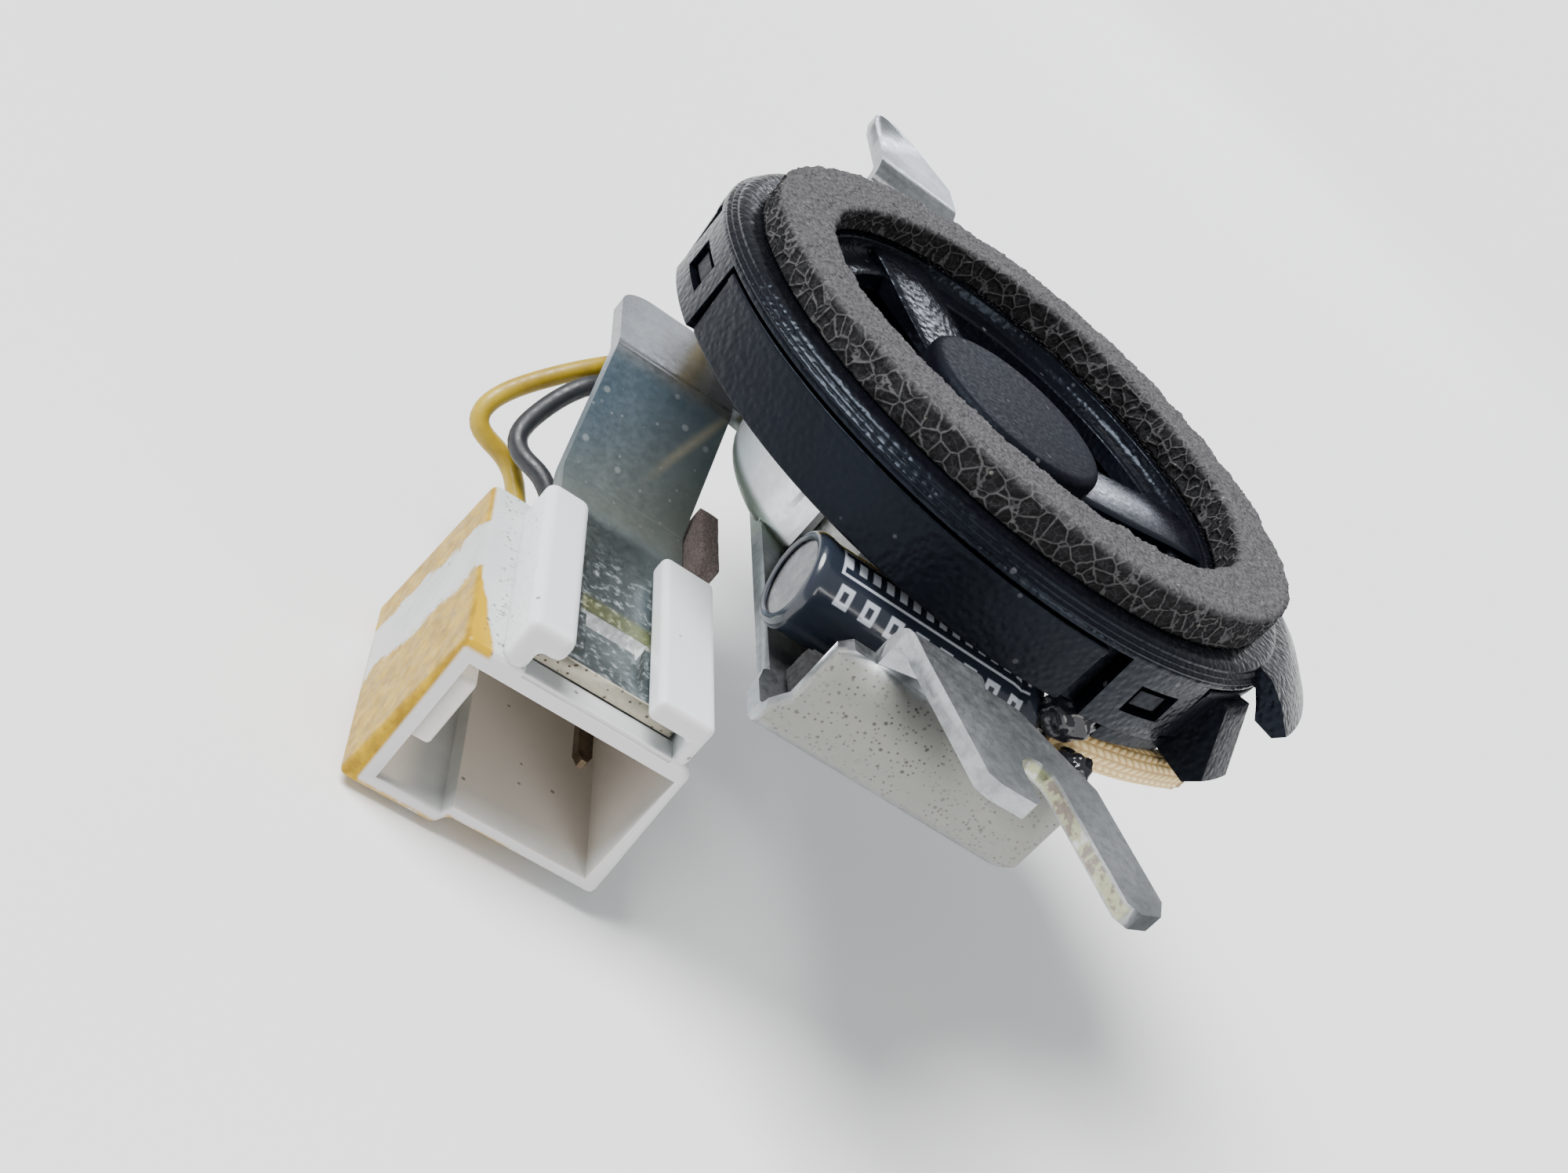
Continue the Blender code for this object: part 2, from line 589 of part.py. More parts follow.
def connector_housing(material, parent):
    """Socket shroud with two hooked rails on top and a low sill at the front."""
    shroud_top = -5.8
    section = [(-29.2, -18.7), (-28.3, shroud_top), (-24.3, shroud_top), (-24.3, POCKET_FLOOR),
               (-13.7, POCKET_FLOOR), (-13.7, shroud_top), (-12.7, shroud_top), (-11.9, -6.5),
               (-11.4, -17.7), (-22.0, -17.7), (-22.5, -18.7)]
    housing = make_object("connector_housing", prism(section, CONN_FRONT_Y, CONN_REAR_Y, "Y"),
                          material, parent)
    left_rail = [(-26.0, -6.1), (-26.0, -2.5), (-22.8, -2.5), (-22.8, TONGUE_TOP + GAP),
                 (-24.3, TONGUE_TOP + GAP), (-24.3, -6.1)]
    right_rail = [(-13.7, -6.1), (-13.7, TONGUE_TOP + GAP), (-16.8, TONGUE_TOP + GAP),
                  (-16.8, -2.8), (-12.7, -2.8), (-12.7, -6.1)]
    for outline in (left_rail, right_rail):
        add(housing, prism(outline, CONN_FRONT_Y, RAIL_REAR_Y, "Y"))
    add(housing, box((-24.4, CONN_FRONT_Y, POCKET_FLOOR - 0.2), (-13.6, -26.7, -6.05)))
    cut(housing, box((-21.5, -25.6, -6.8), (-16.5, CONN_REAR_Y + 1.0, POCKET_FLOOR + 0.5)))
    cavity = [(-27.2, -17.5), (-22.6, -17.5), (-22.2, -16.7), (-12.6, -16.7),
              (-12.6, CAVITY_TOP), (-27.2, CAVITY_TOP)]
    cut(housing, prism(cavity, CONN_FRONT_Y - 1.0, CAVITY_BACK_Y, "Y"))
    add(housing, box((-28.0, CONN_FRONT_Y + 0.4, -14.0), (-25.8, CAVITY_BACK_Y + 0.5, -8.6)))
    for x in PIN_XS:
        bore = turned([(0.0, 0.0), (PIN_BORE_R, 0.0), (PIN_BORE_R, 5.0), (0.0, 5.0)], 12)
        for vertex in bore.verts:
            px, py, pz = vertex.co / MM
            vertex.co = Vector((x + px, CONN_REAR_Y + 1.0 - pz, PIN_Z + py)) * MM
        cut(housing, bore)
    return housing


def connector_pin(name, x, tip_y, material, parent):
    """Flat male contact with a pointed tip."""
    root = CONN_REAR_Y - 1.7
    half = PIN_WIDTH / 2
    outline = [(x - half, root), (x - half, tip_y + 0.7), (x - 0.2, tip_y), (x + 0.2, tip_y),
               (x + half, tip_y + 0.7), (x + half, root)]
    return make_object(name, prism(outline, PIN_Z - PIN_HEIGHT / 2, PIN_Z + PIN_HEIGHT / 2),
                       material, parent)


# ---- capacitor and wiring ----

def turned_along_x(name, profile, segments, material, parent):
    """Turned piece whose axis is the capacitor's, with heights read as X positions."""
    piece = make_object(name, turned(profile, segments), material, parent)
    piece.rotation_euler = (0.0, math.radians(90.0), 0.0)
    piece.location = Vector((0.0, CAP_Y, CAP_Z)) * MM
    return piece


def capacitor(can_material, sleeve_material, bung_material, parent):
    can = [(0.0, CAP_LEFT_X), (CAP_R - 0.3, CAP_LEFT_X), (CAP_R, CAP_LEFT_X + 0.3),
           (CAP_R, CAP_RIGHT_X - 2.0), (CAP_R - 0.3, CAP_RIGHT_X - 1.6),
           (CAP_R, CAP_RIGHT_X - 1.2), (CAP_R, CAP_RIGHT_X - 0.2),
           (CAP_R - 0.2, CAP_RIGHT_X), (0.0, CAP_RIGHT_X)]
    turned_along_x("capacitor_can", can, 24, can_material, parent)
    inner = CAP_R + 0.1
    left = CAP_LEFT_X - 0.25
    right = CAP_RIGHT_X + 0.25
    sleeve = [(inner, CAP_LEFT_X - 0.1), (CAP_R - 0.35, CAP_LEFT_X - 0.1),
              (CAP_R - 0.35, left), (CAP_R, left), (CAP_SLEEVE_R, left + 0.35),
              (CAP_SLEEVE_R, right - 0.35), (CAP_R, right), (CAP_R - 0.35, right),
              (CAP_R - 0.35, CAP_RIGHT_X + 0.1), (inner, CAP_RIGHT_X + 0.1)]
    turned_along_x("capacitor_sleeve", sleeve, 24, sleeve_material, parent)
    bung = [(0.0, CAP_RIGHT_X + GAP), (2.3, CAP_RIGHT_X + GAP), (2.3, CAP_RIGHT_X + 0.8),
            (2.1, CAP_RIGHT_X + 1.0), (0.0, CAP_RIGHT_X + 1.0)]
    turned_along_x("capacitor_bung", bung, 16, bung_material, parent)


# Routes are points in millimetres along each lead, in the order in which it runs.
SLEEVE_ROUTE = ((6.6, -21.7, 5.9), (9.4, -21.2, 6.1), (13.4, -19.8, 6.2), (16.6, -18.1, 6.2),
                (19.4, -16.4, 6.2))
LEAD_1_ROUTE = ((6.0, -21.8, 5.8),) + SLEEVE_ROUTE + ((20.9, -14.6, 6.3), (20.2, -11.8, 6.6))
LEAD_2_ROUTE = ((6.0, -20.2, 4.2), (7.2, -20.9, 3.6), (7.9, -22.0, 3.6))
YELLOW_ROUTE = ((-22.3, -10.6, -12.1), (-22.4, -8.0, -12.1), (-22.8, -4.5, -12.1),
                (-23.5, -0.4, -11.9), (-24.6, 2.9, -11.1), (-26.2, 4.0, -10.6),
                (-27.7, 4.1, -10.4), (-28.8, 4.5, -9.8), (-28.8, 5.3, -8.7), (-27.9, 6.4, -7.4),
                (-26.4, 7.6, -6.0), (-24.5, 8.8, -4.4), (-22.8, 10.0, -3.3), (-19.6, 12.8, -1.9),
                (-16.9, 16.0, -1.2), (-15.5, 18.0, 1.2), (-15.0, 17.2, 4.6), (-15.8, 13.2, 7.3),
                (-17.0, 7.4, 8.1), (-17.8, 0.6, 8.1), (-16.9, -5.8, 8.1), (-13.5, -11.7, 8.1),
                (-8.2, -15.5, 8.1), (-3.0, -17.0, 8.1), (3.0, -17.0, 8.1), (8.8, -15.2, 8.1),
                (13.2, -11.0, 7.9), (16.2, -7.0, 7.0), (18.4, -4.2, 6.2))
BLACK_ROUTE = ((-16.3, -10.6, -12.1), (-16.4, -8.2, -12.1), (-17.6, -6.0, -11.8),
               (-20.6, -2.8, -10.2), (-23.5, 0.2, -8.7), (-24.8, 1.2, -8.9), (-25.9, 2.2, -8.8),
               (-26.2, 3.1, -8.3), (-25.8, 4.2, -7.3), (-25.1, 5.2, -5.8), (-24.2, 6.2, -4.6),
               (-22.9, 7.4, -3.6), (-20.6, 9.6, -3.5), (-17.4, 13.4, -3.4), (-14.7, 17.2, -2.2),
               (-13.4, 18.8, 0.8), (-12.9, 18.0, 4.0), (-13.3, 14.0, 6.9), (-14.5, 8.8, 8.0),
               (-15.7, 3.6, 8.1), (-15.8, -1.2, 8.1), (-14.9, -5.8, 8.1), (-11.8, -10.6, 8.1),
               (-7.4, -13.9, 8.1), (-2.6, -15.2, 8.1), (0.6, -15.2, 7.7), (3.0, -15.2, 6.7),
               (5.0, -15.7, 5.0), (6.8, -17.1, 3.5), (8.3, -19.0, 2.8), (9.3, -21.0, 3.2))
COIL_LEAD_AZIMUTHS = (-38.0, -24.0)


def coil_lead_route(azimuth):
    """Fine lead that arches over the surround from the dome's collar."""
    heading = Vector((math.cos(math.radians(azimuth)), math.sin(math.radians(azimuth)), 0.0))
    return [heading * radius + Vector((0.0, 0.0, height))
            for radius, height in ((10.15, 12.0), (11.2, 12.85), (12.4, 13.0), (13.8, 12.95))]


def glue_blob(name, radius, place, material, parent):
    """Bead of black adhesive beside the joint between the capacitor and its lead."""
    outline = [(0.0, -0.89), (0.59, -0.74), (0.96, -0.3), (1.0, 0.22), (0.67, 0.74), (0.0, 0.93)]
    shape = turned([(radius * r, radius * z) for r, z in outline], 14)
    bmesh.ops.translate(shape, verts=shape.verts, vec=Vector(place) * MM)
    return make_object(name, shape, material, parent, 60.0)


def main():
    clear_scene()
    black = make_material("black_plastic", (0.02, 0.022, 0.028), 0.45)
    foam = make_material("foam", (0.12, 0.115, 0.115), 0.95)
    steel = make_material("steel", (0.55, 0.55, 0.52), 0.35, 1.0)
    zinc = make_material("zinc_plate", (0.6, 0.63, 0.62), 0.35, 1.0)
    ferrite = make_material("magnet", (0.08, 0.08, 0.085), 0.4, 0.6)
    copper = make_material("copper", (0.7, 0.33, 0.16), 0.35, 1.0)
    brass = make_material("brass", (0.62, 0.5, 0.25), 0.4, 1.0)
    film = make_material("film", (0.3, 0.3, 0.34), 0.4)
    nylon = make_material("nylon", (0.78, 0.77, 0.73), 0.4)
    aluminium = make_material("aluminium", (0.6, 0.58, 0.57), 0.45, 1.0)
    shrink = make_material("shrink_sleeve", (0.02, 0.022, 0.03), 0.2)
    rubber = make_material("rubber", (0.03, 0.03, 0.03), 0.7)
    braid = make_material("braid", (0.75, 0.6, 0.38), 0.8)
    yellow = make_material("yellow_insulation", (0.55, 0.38, 0.05), 0.45)
    dark = make_material("black_insulation", (0.03, 0.032, 0.035), 0.5)
    felt = make_material("felt", (0.1, 0.08, 0.07), 0.95)
    solder = make_material("solder", (0.65, 0.66, 0.68), 0.3, 1.0)

    base = make_empty("speaker_frame", (0.0, 0.0, 0.0))
    travel = make_empty("diaphragm_travel_axis", (0.0, 0.0, COIL_BOTTOM))
    slide = make_empty("connector_slide_axis", (-19.0, CONN_FRONT_Y, TONGUE_TOP - SHEET / 2))

    front_cap(black, base)
    rear_housing(black, base)
    foam_gasket(foam, base)
    yoke_cup(steel, base)
    magnet_top = POT_FLOOR + GAP + MAGNET_HEIGHT
    disc("magnet", MAGNET_R, POT_FLOOR + GAP, magnet_top, ferrite, base)
    disc("pole_plate", POLE_R, magnet_top + GAP, POT_TOP, steel, base)
    disc("damping_pad", 7.2, POT_TOP + GAP, POT_TOP + 0.9, felt, base, 0.1, 24)
    retainer_low = LEDGE_TOP + 2 * TRAVEL_GAP + SURROUND_WALL
    ring("retainer_ring", 14.4, 17.0, retainer_low, 12.6, black, base)
    for index, place in enumerate(terminal_places()):
        terminal_tag(f"terminal_tag_{index + 1}", place, brass, base)
        solder_blob(f"solder_joint_{index + 1}", place, 5.65, solder, base)

    dome_diaphragm(film, travel)
    surround(film, travel)
    ring("voice_coil_former", FORMER_R - FORMER_WALL, FORMER_R, FORMER_BOTTOM, FORMER_TOP,
         aluminium, travel)
    ring("voice_coil", FORMER_R + 0.1, COIL_R, COIL_BOTTOM, COIL_TOP, copper, travel)
    for index, azimuth in enumerate(COIL_LEAD_AZIMUTHS):
        make_tube(f"coil_lead_{index + 1}", coil_lead_route(azimuth), 0.3, copper, travel)

    mounting_bracket(zinc, base)
    make_object("edge_pad", box((-13.7, -9.2, -6.2), (-12.0, -1.2, -3.0)), felt, base)
    make_object("foam_pad", box((-11.2, -29.2, 1.5), (2.0, -24.9, 4.0)), foam, base)
    capacitor(aluminium, shrink, rubber, base)
    make_object("braided_sleeve", hose(SLEEVE_ROUTE, SLEEVE_DIAMETER, SLEEVE_BORE, 2.4), braid, base)
    make_tube("capacitor_lead_1", LEAD_1_ROUTE, LEAD_DIAMETER, solder, base)
    make_tube("capacitor_lead_2", LEAD_2_ROUTE, LEAD_DIAMETER, solder, base)
    glue_blob("glue_bead_1", 0.98, (6.6, -22.9, 8.1), shrink, base)
    glue_blob("glue_bead_2", 1.35, (8.5, -24.3, 5.9), shrink, base)
    make_tube("wire_yellow", YELLOW_ROUTE, WIRE_DIAMETER, yellow, base)
    make_tube("wire_black", BLACK_ROUTE, WIRE_DIAMETER, dark, base)

    connector_housing(nylon, slide)
    for index, (x, tip_y) in enumerate(zip(PIN_XS, PIN_TIPS_Y)):
        connector_pin(f"connector_pin_{index + 1}", x, tip_y, brass, slide)


main()
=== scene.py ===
"""Looks of the car tweeter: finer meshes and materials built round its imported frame.

Sizes in millimetres are turned into metres by MM. Heights and radii are those of the
frame's own pieces, whose axis is Z.
"""
import math

import bmesh
import bpy
from mathutils import Matrix, Vector, noise


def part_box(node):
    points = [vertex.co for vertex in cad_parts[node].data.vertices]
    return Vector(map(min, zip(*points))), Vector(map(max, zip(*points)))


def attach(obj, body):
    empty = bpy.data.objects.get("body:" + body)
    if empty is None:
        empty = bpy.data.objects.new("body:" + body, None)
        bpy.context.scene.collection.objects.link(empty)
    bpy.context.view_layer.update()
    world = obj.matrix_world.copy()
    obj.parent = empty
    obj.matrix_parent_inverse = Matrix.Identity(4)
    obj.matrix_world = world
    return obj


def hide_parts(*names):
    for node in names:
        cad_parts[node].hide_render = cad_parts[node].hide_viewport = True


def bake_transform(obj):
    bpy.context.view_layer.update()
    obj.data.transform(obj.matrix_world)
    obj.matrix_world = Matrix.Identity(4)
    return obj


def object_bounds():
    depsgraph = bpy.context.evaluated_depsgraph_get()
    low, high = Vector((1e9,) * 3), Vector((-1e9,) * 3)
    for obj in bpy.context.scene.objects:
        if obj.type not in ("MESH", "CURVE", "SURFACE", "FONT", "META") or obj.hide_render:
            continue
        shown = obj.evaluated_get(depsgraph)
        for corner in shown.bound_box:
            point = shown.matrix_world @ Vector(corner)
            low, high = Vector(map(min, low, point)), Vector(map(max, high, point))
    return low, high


MM = 0.001
FRAME_BODY = "frame"
CONE_BODY = "diaphragm"
PLUG_BODY = "connector"

# Head
SEAM = 14.2
FACE = 15.93
WALL_BOTTOM = 9.3
SKIRT_BOTTOM = 7.85
FLOOR_TOP = 10.6
LEG_INNER_R = 24.0
LEG_AZIMUTHS = (-66.5, -174.5, 59.5)
LEG_WIDTH = 19.0
LEG_WINDOW = 9.0
SPOKE_AZIMUTHS = (0.0, 120.0, 240.0)
FINE = 160

# Bracket
SHEET = 1.2
HALF = SHEET / 2
NEAR_FLANGE = -31.0
FAR_FLANGE = 31.3
NEAR_EAR_TOP = 11.2
FAR_EAR_TOP = 16.7
FORK_AXIS = -68.0
TONGUE_TOP = -4.8

# Connector
CONN_FRONT = -28.0
CONN_REAR = -9.75
POCKET_FLOOR = -6.35
PIN_Z = -12.1
PIN_XS = (-16.3, -22.3)

# Capacitor
CAP_LEFT = -13.1
CAP_RIGHT = 4.95
CAP_R = 3.25
CAP_CENTRE = (0.0, -21.0, 5.2)


# ---- mesh helpers ----

def turned(profile, segments=FINE, start=0.0, sweep=360.0):
    """Turn a closed (radius, height) outline about Z, all round or through a sector."""
    shape = bmesh.new()
    whole = sweep == 360.0
    count = segments if whole else segments + 1
    on_axis = {}
    rings = []
    for step in range(count):
        angle = math.radians(start + sweep * step / segments)
        ring = []
        for index, (radius, height) in enumerate(profile):
            if radius == 0.0 and index in on_axis:
                ring.append(on_axis[index])
                continue
            place = (radius * math.cos(angle), radius * math.sin(angle), height)
            vertex = shape.verts.new(Vector(place) * MM)
            if radius == 0.0:
                on_axis[index] = vertex
            ring.append(vertex)
        rings.append(ring)
    for step in range(segments):
        this, following = rings[step], rings[(step + 1) % count]
        for index in range(len(profile)):
            after = (index + 1) % len(profile)
            loop = [this[index], this[after], following[after], following[index]]
            corners = list(dict.fromkeys(loop))
            if len(corners) > 2:
                shape.faces.new(corners)
    if not whole:
        shape.faces.new(rings[0])
        shape.faces.new(list(reversed(rings[-1])))
    return shape


def prism(outline, low, high, across="Z"):
    """Extrude a closed outline from low to high along X, Y or Z."""
    shape = bmesh.new()
    ends = []
    for level in (low, high):
        ring = []
        for first, second in outline:
            place = {"X": (level, first, second),
                     "Y": (first, level, second),
                     "Z": (first, second, level)}[across]
            ring.append(shape.verts.new(Vector(place) * MM))
        ends.append(ring)
    shape.faces.new(ends[0])
    shape.faces.new(list(reversed(ends[1])))
    for index in range(len(outline)):
        after = (index + 1) % len(outline)
        shape.faces.new([ends[0][index], ends[1][index], ends[1][after], ends[0][after]])
    return shape


def box(low, high):
    outline = [(low[0], low[1]), (high[0], low[1]), (high[0], high[1]), (low[0], high[1])]
    return prism(outline, low[2], high[2])


def arc(centre, radius, start, end, steps):
    """Points on a circle's arc, from the start angle to the end angle in degrees."""
    points = []
    for step in range(steps + 1):
        angle = math.radians(start + (end - start) * step / steps)
        points.append((centre[0] + radius * math.cos(angle), centre[1] + radius * math.sin(angle)))
    return points


def folded_outline(corners, inside_radius, steps=9):
    """Outline of the sheet's edge: a polyline with rounded folds, given the sheet's thickness."""
    middle_radius = inside_radius + HALF
    stations = [(Vector(corners[0]), (Vector(corners[1]) - Vector(corners[0])).normalized())]
    for before, corner, after in zip(corners, corners[1:], corners[2:]):
        corner = Vector(corner)
        incoming = (corner - Vector(before)).normalized()
        outgoing = (Vector(after) - corner).normalized()
        turn = incoming.angle_signed(outgoing)
        reach = middle_radius * math.tan(abs(turn) / 2)
        side = -1.0 if turn > 0 else 1.0
        centre = corner - incoming * reach + Vector((-incoming.y, incoming.x)) * side * middle_radius
        for step in range(steps + 1):
            angle = -turn * step / steps
            cosine, sine = math.cos(angle), math.sin(angle)
            heading = Vector((incoming.x * cosine - incoming.y * sine,
                              incoming.x * sine + incoming.y * cosine))
            across = Vector((-heading.y, heading.x)) * side
            stations.append((centre - across * middle_radius, heading))
    last = Vector(corners[-1])
    stations.append((last, (last - Vector(corners[-2])).normalized()))
    left = []
    right = []
    for point, heading in stations:
        offset = Vector((-heading.y, heading.x)) * HALF
        left.append(tuple(point + offset))
        right.append(tuple(point - offset))
    return left + list(reversed(right))


def sector(azimuth, width, low, high, inner, outer, steps=10):
    """Block between two radii, two heights and two azimuths."""
    profile = [(inner, low), (outer, low), (outer, high), (inner, high)]
    return turned(profile, steps, azimuth - width / 2, width)


def make_piece(name, shape, material, sharp=38.0):
    """Object from a bmesh that is written in the frame's coordinates."""
    bmesh.ops.recalc_face_normals(shape, faces=shape.faces)
    mesh = bpy.data.meshes.new(name)
    shape.to_mesh(mesh)
    shape.free()
    mesh.shade_smooth()
    mesh.set_sharp_from_angle(angle=math.radians(sharp))
    mesh.materials.append(material)
    piece = bpy.data.objects.new(name, mesh)
    bpy.context.collection.objects.link(piece)
    return piece


def combine(piece, shape, operation):
    """Join a shape to a piece, or cut it out of it."""
    tool = make_piece("tool", shape, piece.data.materials[0])
    modifier = piece.modifiers.new("shape", "BOOLEAN")
    modifier.operation = operation
    modifier.solver = "EXACT"
    modifier.object = tool
    graph = bpy.context.evaluated_depsgraph_get()
    result = bpy.data.meshes.new_from_object(piece.evaluated_get(graph))
    piece.modifiers.remove(modifier)
    piece.data = result
    bpy.data.objects.remove(tool, do_unlink=True)


def add(piece, shape):
    combine(piece, shape, "UNION")


def cut(piece, shape):
    combine(piece, shape, "DIFFERENCE")


def bevel(piece, width, segments, angle):
    modifier = piece.modifiers.new("rounding", "BEVEL")
    modifier.width = width * MM
    modifier.segments = segments
    modifier.limit_method = "ANGLE"
    modifier.angle_limit = math.radians(angle)
    modifier.use_clamp_overlap = True


def round_edges(piece, width, segments=3, angle=32.0):
    """Round a piece's sharp edges and keep its flat faces flat."""
    bevel(piece, width, segments, angle)
    normals = piece.modifiers.new("flat_faces", "WEIGHTED_NORMAL")
    normals.keep_sharp = False
    for polygon in piece.data.polygons:
        polygon.use_smooth = True
    for edge in piece.data.edges:
        edge.use_edge_sharp = False


def bake_rounding(piece, width, segments=4, angle=40.0):
    """Round a piece's edges now, before later cuts bring in finer details."""
    bevel(piece, width, segments, angle)
    graph = bpy.context.evaluated_depsgraph_get()
    piece.data = bpy.data.meshes.new_from_object(piece.evaluated_get(graph))
    piece.modifiers.clear()


def add_rounded(piece, shape, width):
    """Join on a block whose own edges are rounded first."""
    block = make_piece("block", shape, piece.data.materials[0])
    bake_rounding(block, width)
    solid = bmesh.new()
    solid.from_mesh(block.data)
    bpy.data.objects.remove(block, do_unlink=True)
    add(piece, solid)


def smooth_route(points, spacing):
    """Points about a spacing apart on a smooth curve through the given points."""
    knots = [Vector(point) for point in points]
    padded = [knots[0] * 2 - knots[1]] + knots + [knots[-1] * 2 - knots[-2]]
    route = []
    for index in range(1, len(padded) - 2):
        p0, p1, p2, p3 = padded[index - 1:index + 3]
        count = max(1, round((p2 - p1).length / spacing))
        for step in range(count):
            t = step / count
            route.append(0.5 * (2 * p1 + (p2 - p0) * t
                                + (2 * p0 - 5 * p1 + 4 * p2 - p3) * t ** 2
                                + (3 * p1 - p0 - 3 * p2 + p3) * t ** 3))
    route.append(knots[-1])
    return route


def relaxed(route, passes=12):
    """The same route with its kinks eased, and its ends kept."""
    points = [point.copy() for point in route]
    for _ in range(passes):
        points = [points[0]] + [points[i] * 0.5 + (points[i - 1] + points[i + 1]) * 0.25
                                for i in range(1, len(points) - 1)] + [points[-1]]
    return points


def tube(route, radius_at, sides=20, inner=None):
    """Tube along a route. radius_at gives the radius for a place along and around it."""
    shape = bmesh.new()
    over = Vector((0.0, 0.0, 1.0))
    rings = []
    travelled = 0.0
    for index, place in enumerate(route):
        heading = (route[min(index + 1, len(route) - 1)] - route[max(index - 1, 0)]).normalized()
        over = (over - heading * over.dot(heading)).normalized()
        side = heading.cross(over)
        if index:
            travelled += (place - route[index - 1]).length
        ring = []
        for step in range(sides):
            angle = 2 * math.pi * step / sides
            reach = radius_at(travelled, angle)
            offset = side * math.cos(angle) * reach + over * math.sin(angle) * reach
            ring.append(shape.verts.new((place + offset) * MM))
        rings.append(ring)
    for first, second in zip(rings, rings[1:]):
        for step in range(sides):
            after = (step + 1) % sides
            shape.faces.new([first[step], first[after], second[after], second[step]])
    for ring, end in ((rings[0], route[0]), (rings[-1], route[-1])):
        if inner is None:
            shape.faces.new(ring)
            continue
        lip = [shape.verts.new((end + (v.co / MM - end) * inner) * MM) for v in ring]
        inward = (route[1] - route[0]) if ring is rings[0] else (route[-2] - route[-1])
        well = [shape.verts.new(v.co + inward.normalized() * 1.4 * MM) for v in lip]
        for step in range(sides):
            after = (step + 1) % sides
            shape.faces.new([ring[step], ring[after], lip[after], lip[step]])
            shape.faces.new([lip[step], lip[after], well[after], well[step]])
        shape.faces.new(well)
    return shape


# ---- material helpers ----

class Shader:
    """A Principled material and short ways to add nodes to it."""

    def __init__(self, name, colour, roughness, metallic=0.0):
        self.material = bpy.data.materials.new(name)
        self.material.use_nodes = True
        self.nodes = self.material.node_tree.nodes
        self.links = self.material.node_tree.links
        self.base = self.nodes["Principled BSDF"]
        self.base.inputs["Base Color"].default_value = (*colour, 1.0)
        self.base.inputs["Roughness"].default_value = roughness
        self.base.inputs["Metallic"].default_value = metallic
        self.place = self.nodes.new("ShaderNodeTexCoord").outputs["Object"]
        self.height = None

    def link(self, value, socket):
        if isinstance(value, bpy.types.NodeSocket):
            self.links.new(value, socket)
        elif isinstance(value, tuple) and len(value) == 3 and socket.type == "RGBA":
            socket.default_value = (*value, 1.0)
        else:
            socket.default_value = value
        return socket

    def noise(self, size, detail=3.0, rough=0.5, place=None):
        """Cloudy noise, 0 to 1, whose blotches are about size millimetres across."""
        node = self.nodes.new("ShaderNodeTexNoise")
        self.link(place or self.place, node.inputs["Vector"])
        node.inputs["Scale"].default_value = 1.0 / (size * MM)
        node.inputs["Detail"].default_value = detail
        node.inputs["Roughness"].default_value = rough
        return node.outputs["Fac"]

    def cells(self, size, output="Distance", feature="F1", place=None):
        """Cellular pattern whose cells are about size millimetres across."""
        node = self.nodes.new("ShaderNodeTexVoronoi")
        node.feature = feature
        self.link(place or self.place, node.inputs["Vector"])
        node.inputs["Scale"].default_value = 1.0 / (size * MM)
        return node.outputs[output]

    def math(self, operation, first, second=0.0, clamp=False):
        node = self.nodes.new("ShaderNodeMath")
        node.operation = operation
        node.use_clamp = clamp
        self.link(first, node.inputs[0])
        self.link(second, node.inputs[1])
        return node.outputs[0]

    def times(self, *factors):
        """Product of two or more values."""
        product = factors[0]
        for factor in factors[1:]:
            product = self.math("MULTIPLY", product, factor)
        return product

    def plus(self, first, second):
        return self.math("ADD", first, second)

    def either(self, first, second):
        """Sum of two masks, held at 1."""
        return self.math("ADD", first, second, True)

    def outside(self, mask):
        """The rest of a mask: 1 where it is 0."""
        return self.math("SUBTRACT", 1.0, mask)

    def ramp(self, value, low, high, to_low=0.0, to_high=1.0):
        """Smooth step of a value from one number to another."""
        node = self.nodes.new("ShaderNodeMapRange")
        node.interpolation_type = "SMOOTHSTEP"
        self.link(value, node.inputs["Value"])
        node.inputs["From Min"].default_value = low
        node.inputs["From Max"].default_value = high
        node.inputs["To Min"].default_value = to_low
        node.inputs["To Max"].default_value = to_high
        return node.outputs[0]

    def mix(self, share, first, second):
        """Colour mix, first at 0 and second at 1."""
        node = self.nodes.new("ShaderNodeMix")
        node.data_type = "RGBA"
        self.link(share, node.inputs[0])
        self.link(first, node.inputs[6])
        self.link(second, node.inputs[7])
        return node.outputs[2]

    def axis(self, name):
        """Position along one axis, in millimetres."""
        node = self.nodes.new("ShaderNodeSeparateXYZ")
        self.link(self.place, node.inputs[0])
        return self.times(node.outputs[name], 1000.0)

    def band(self, value, low, high, soft=0.3):
        """1 between low and high, 0 outside, with soft ends."""
        rise = self.ramp(value, low - soft, low + soft)
        fall = self.ramp(value, high - soft, high + soft, 1.0, 0.0)
        return self.times(rise, fall)

    def attribute(self, name):
        node = self.nodes.new("ShaderNodeAttribute")
        node.attribute_name = name
        return node.outputs["Fac"]

    def set(self, socket, value):
        self.base.inputs[socket].default_value = value

    def colour(self, value):
        self.link(value, self.base.inputs["Base Color"])

    def roughness(self, value):
        self.link(value, self.base.inputs["Roughness"])

    def metallic(self, value):
        self.link(value, self.base.inputs["Metallic"])

    def bump(self, height, depth, strength=1.0):
        """Relief of the given depth in millimetres. Calls stack."""
        node = self.nodes.new("ShaderNodeBump")
        node.inputs["Strength"].default_value = strength
        node.inputs["Distance"].default_value = depth * MM
        self.link(height, node.inputs["Height"])
        if self.height is not None:
            self.links.new(self.height, node.inputs["Normal"])
        self.height = node.outputs["Normal"]
        self.links.new(self.height, self.base.inputs["Normal"])

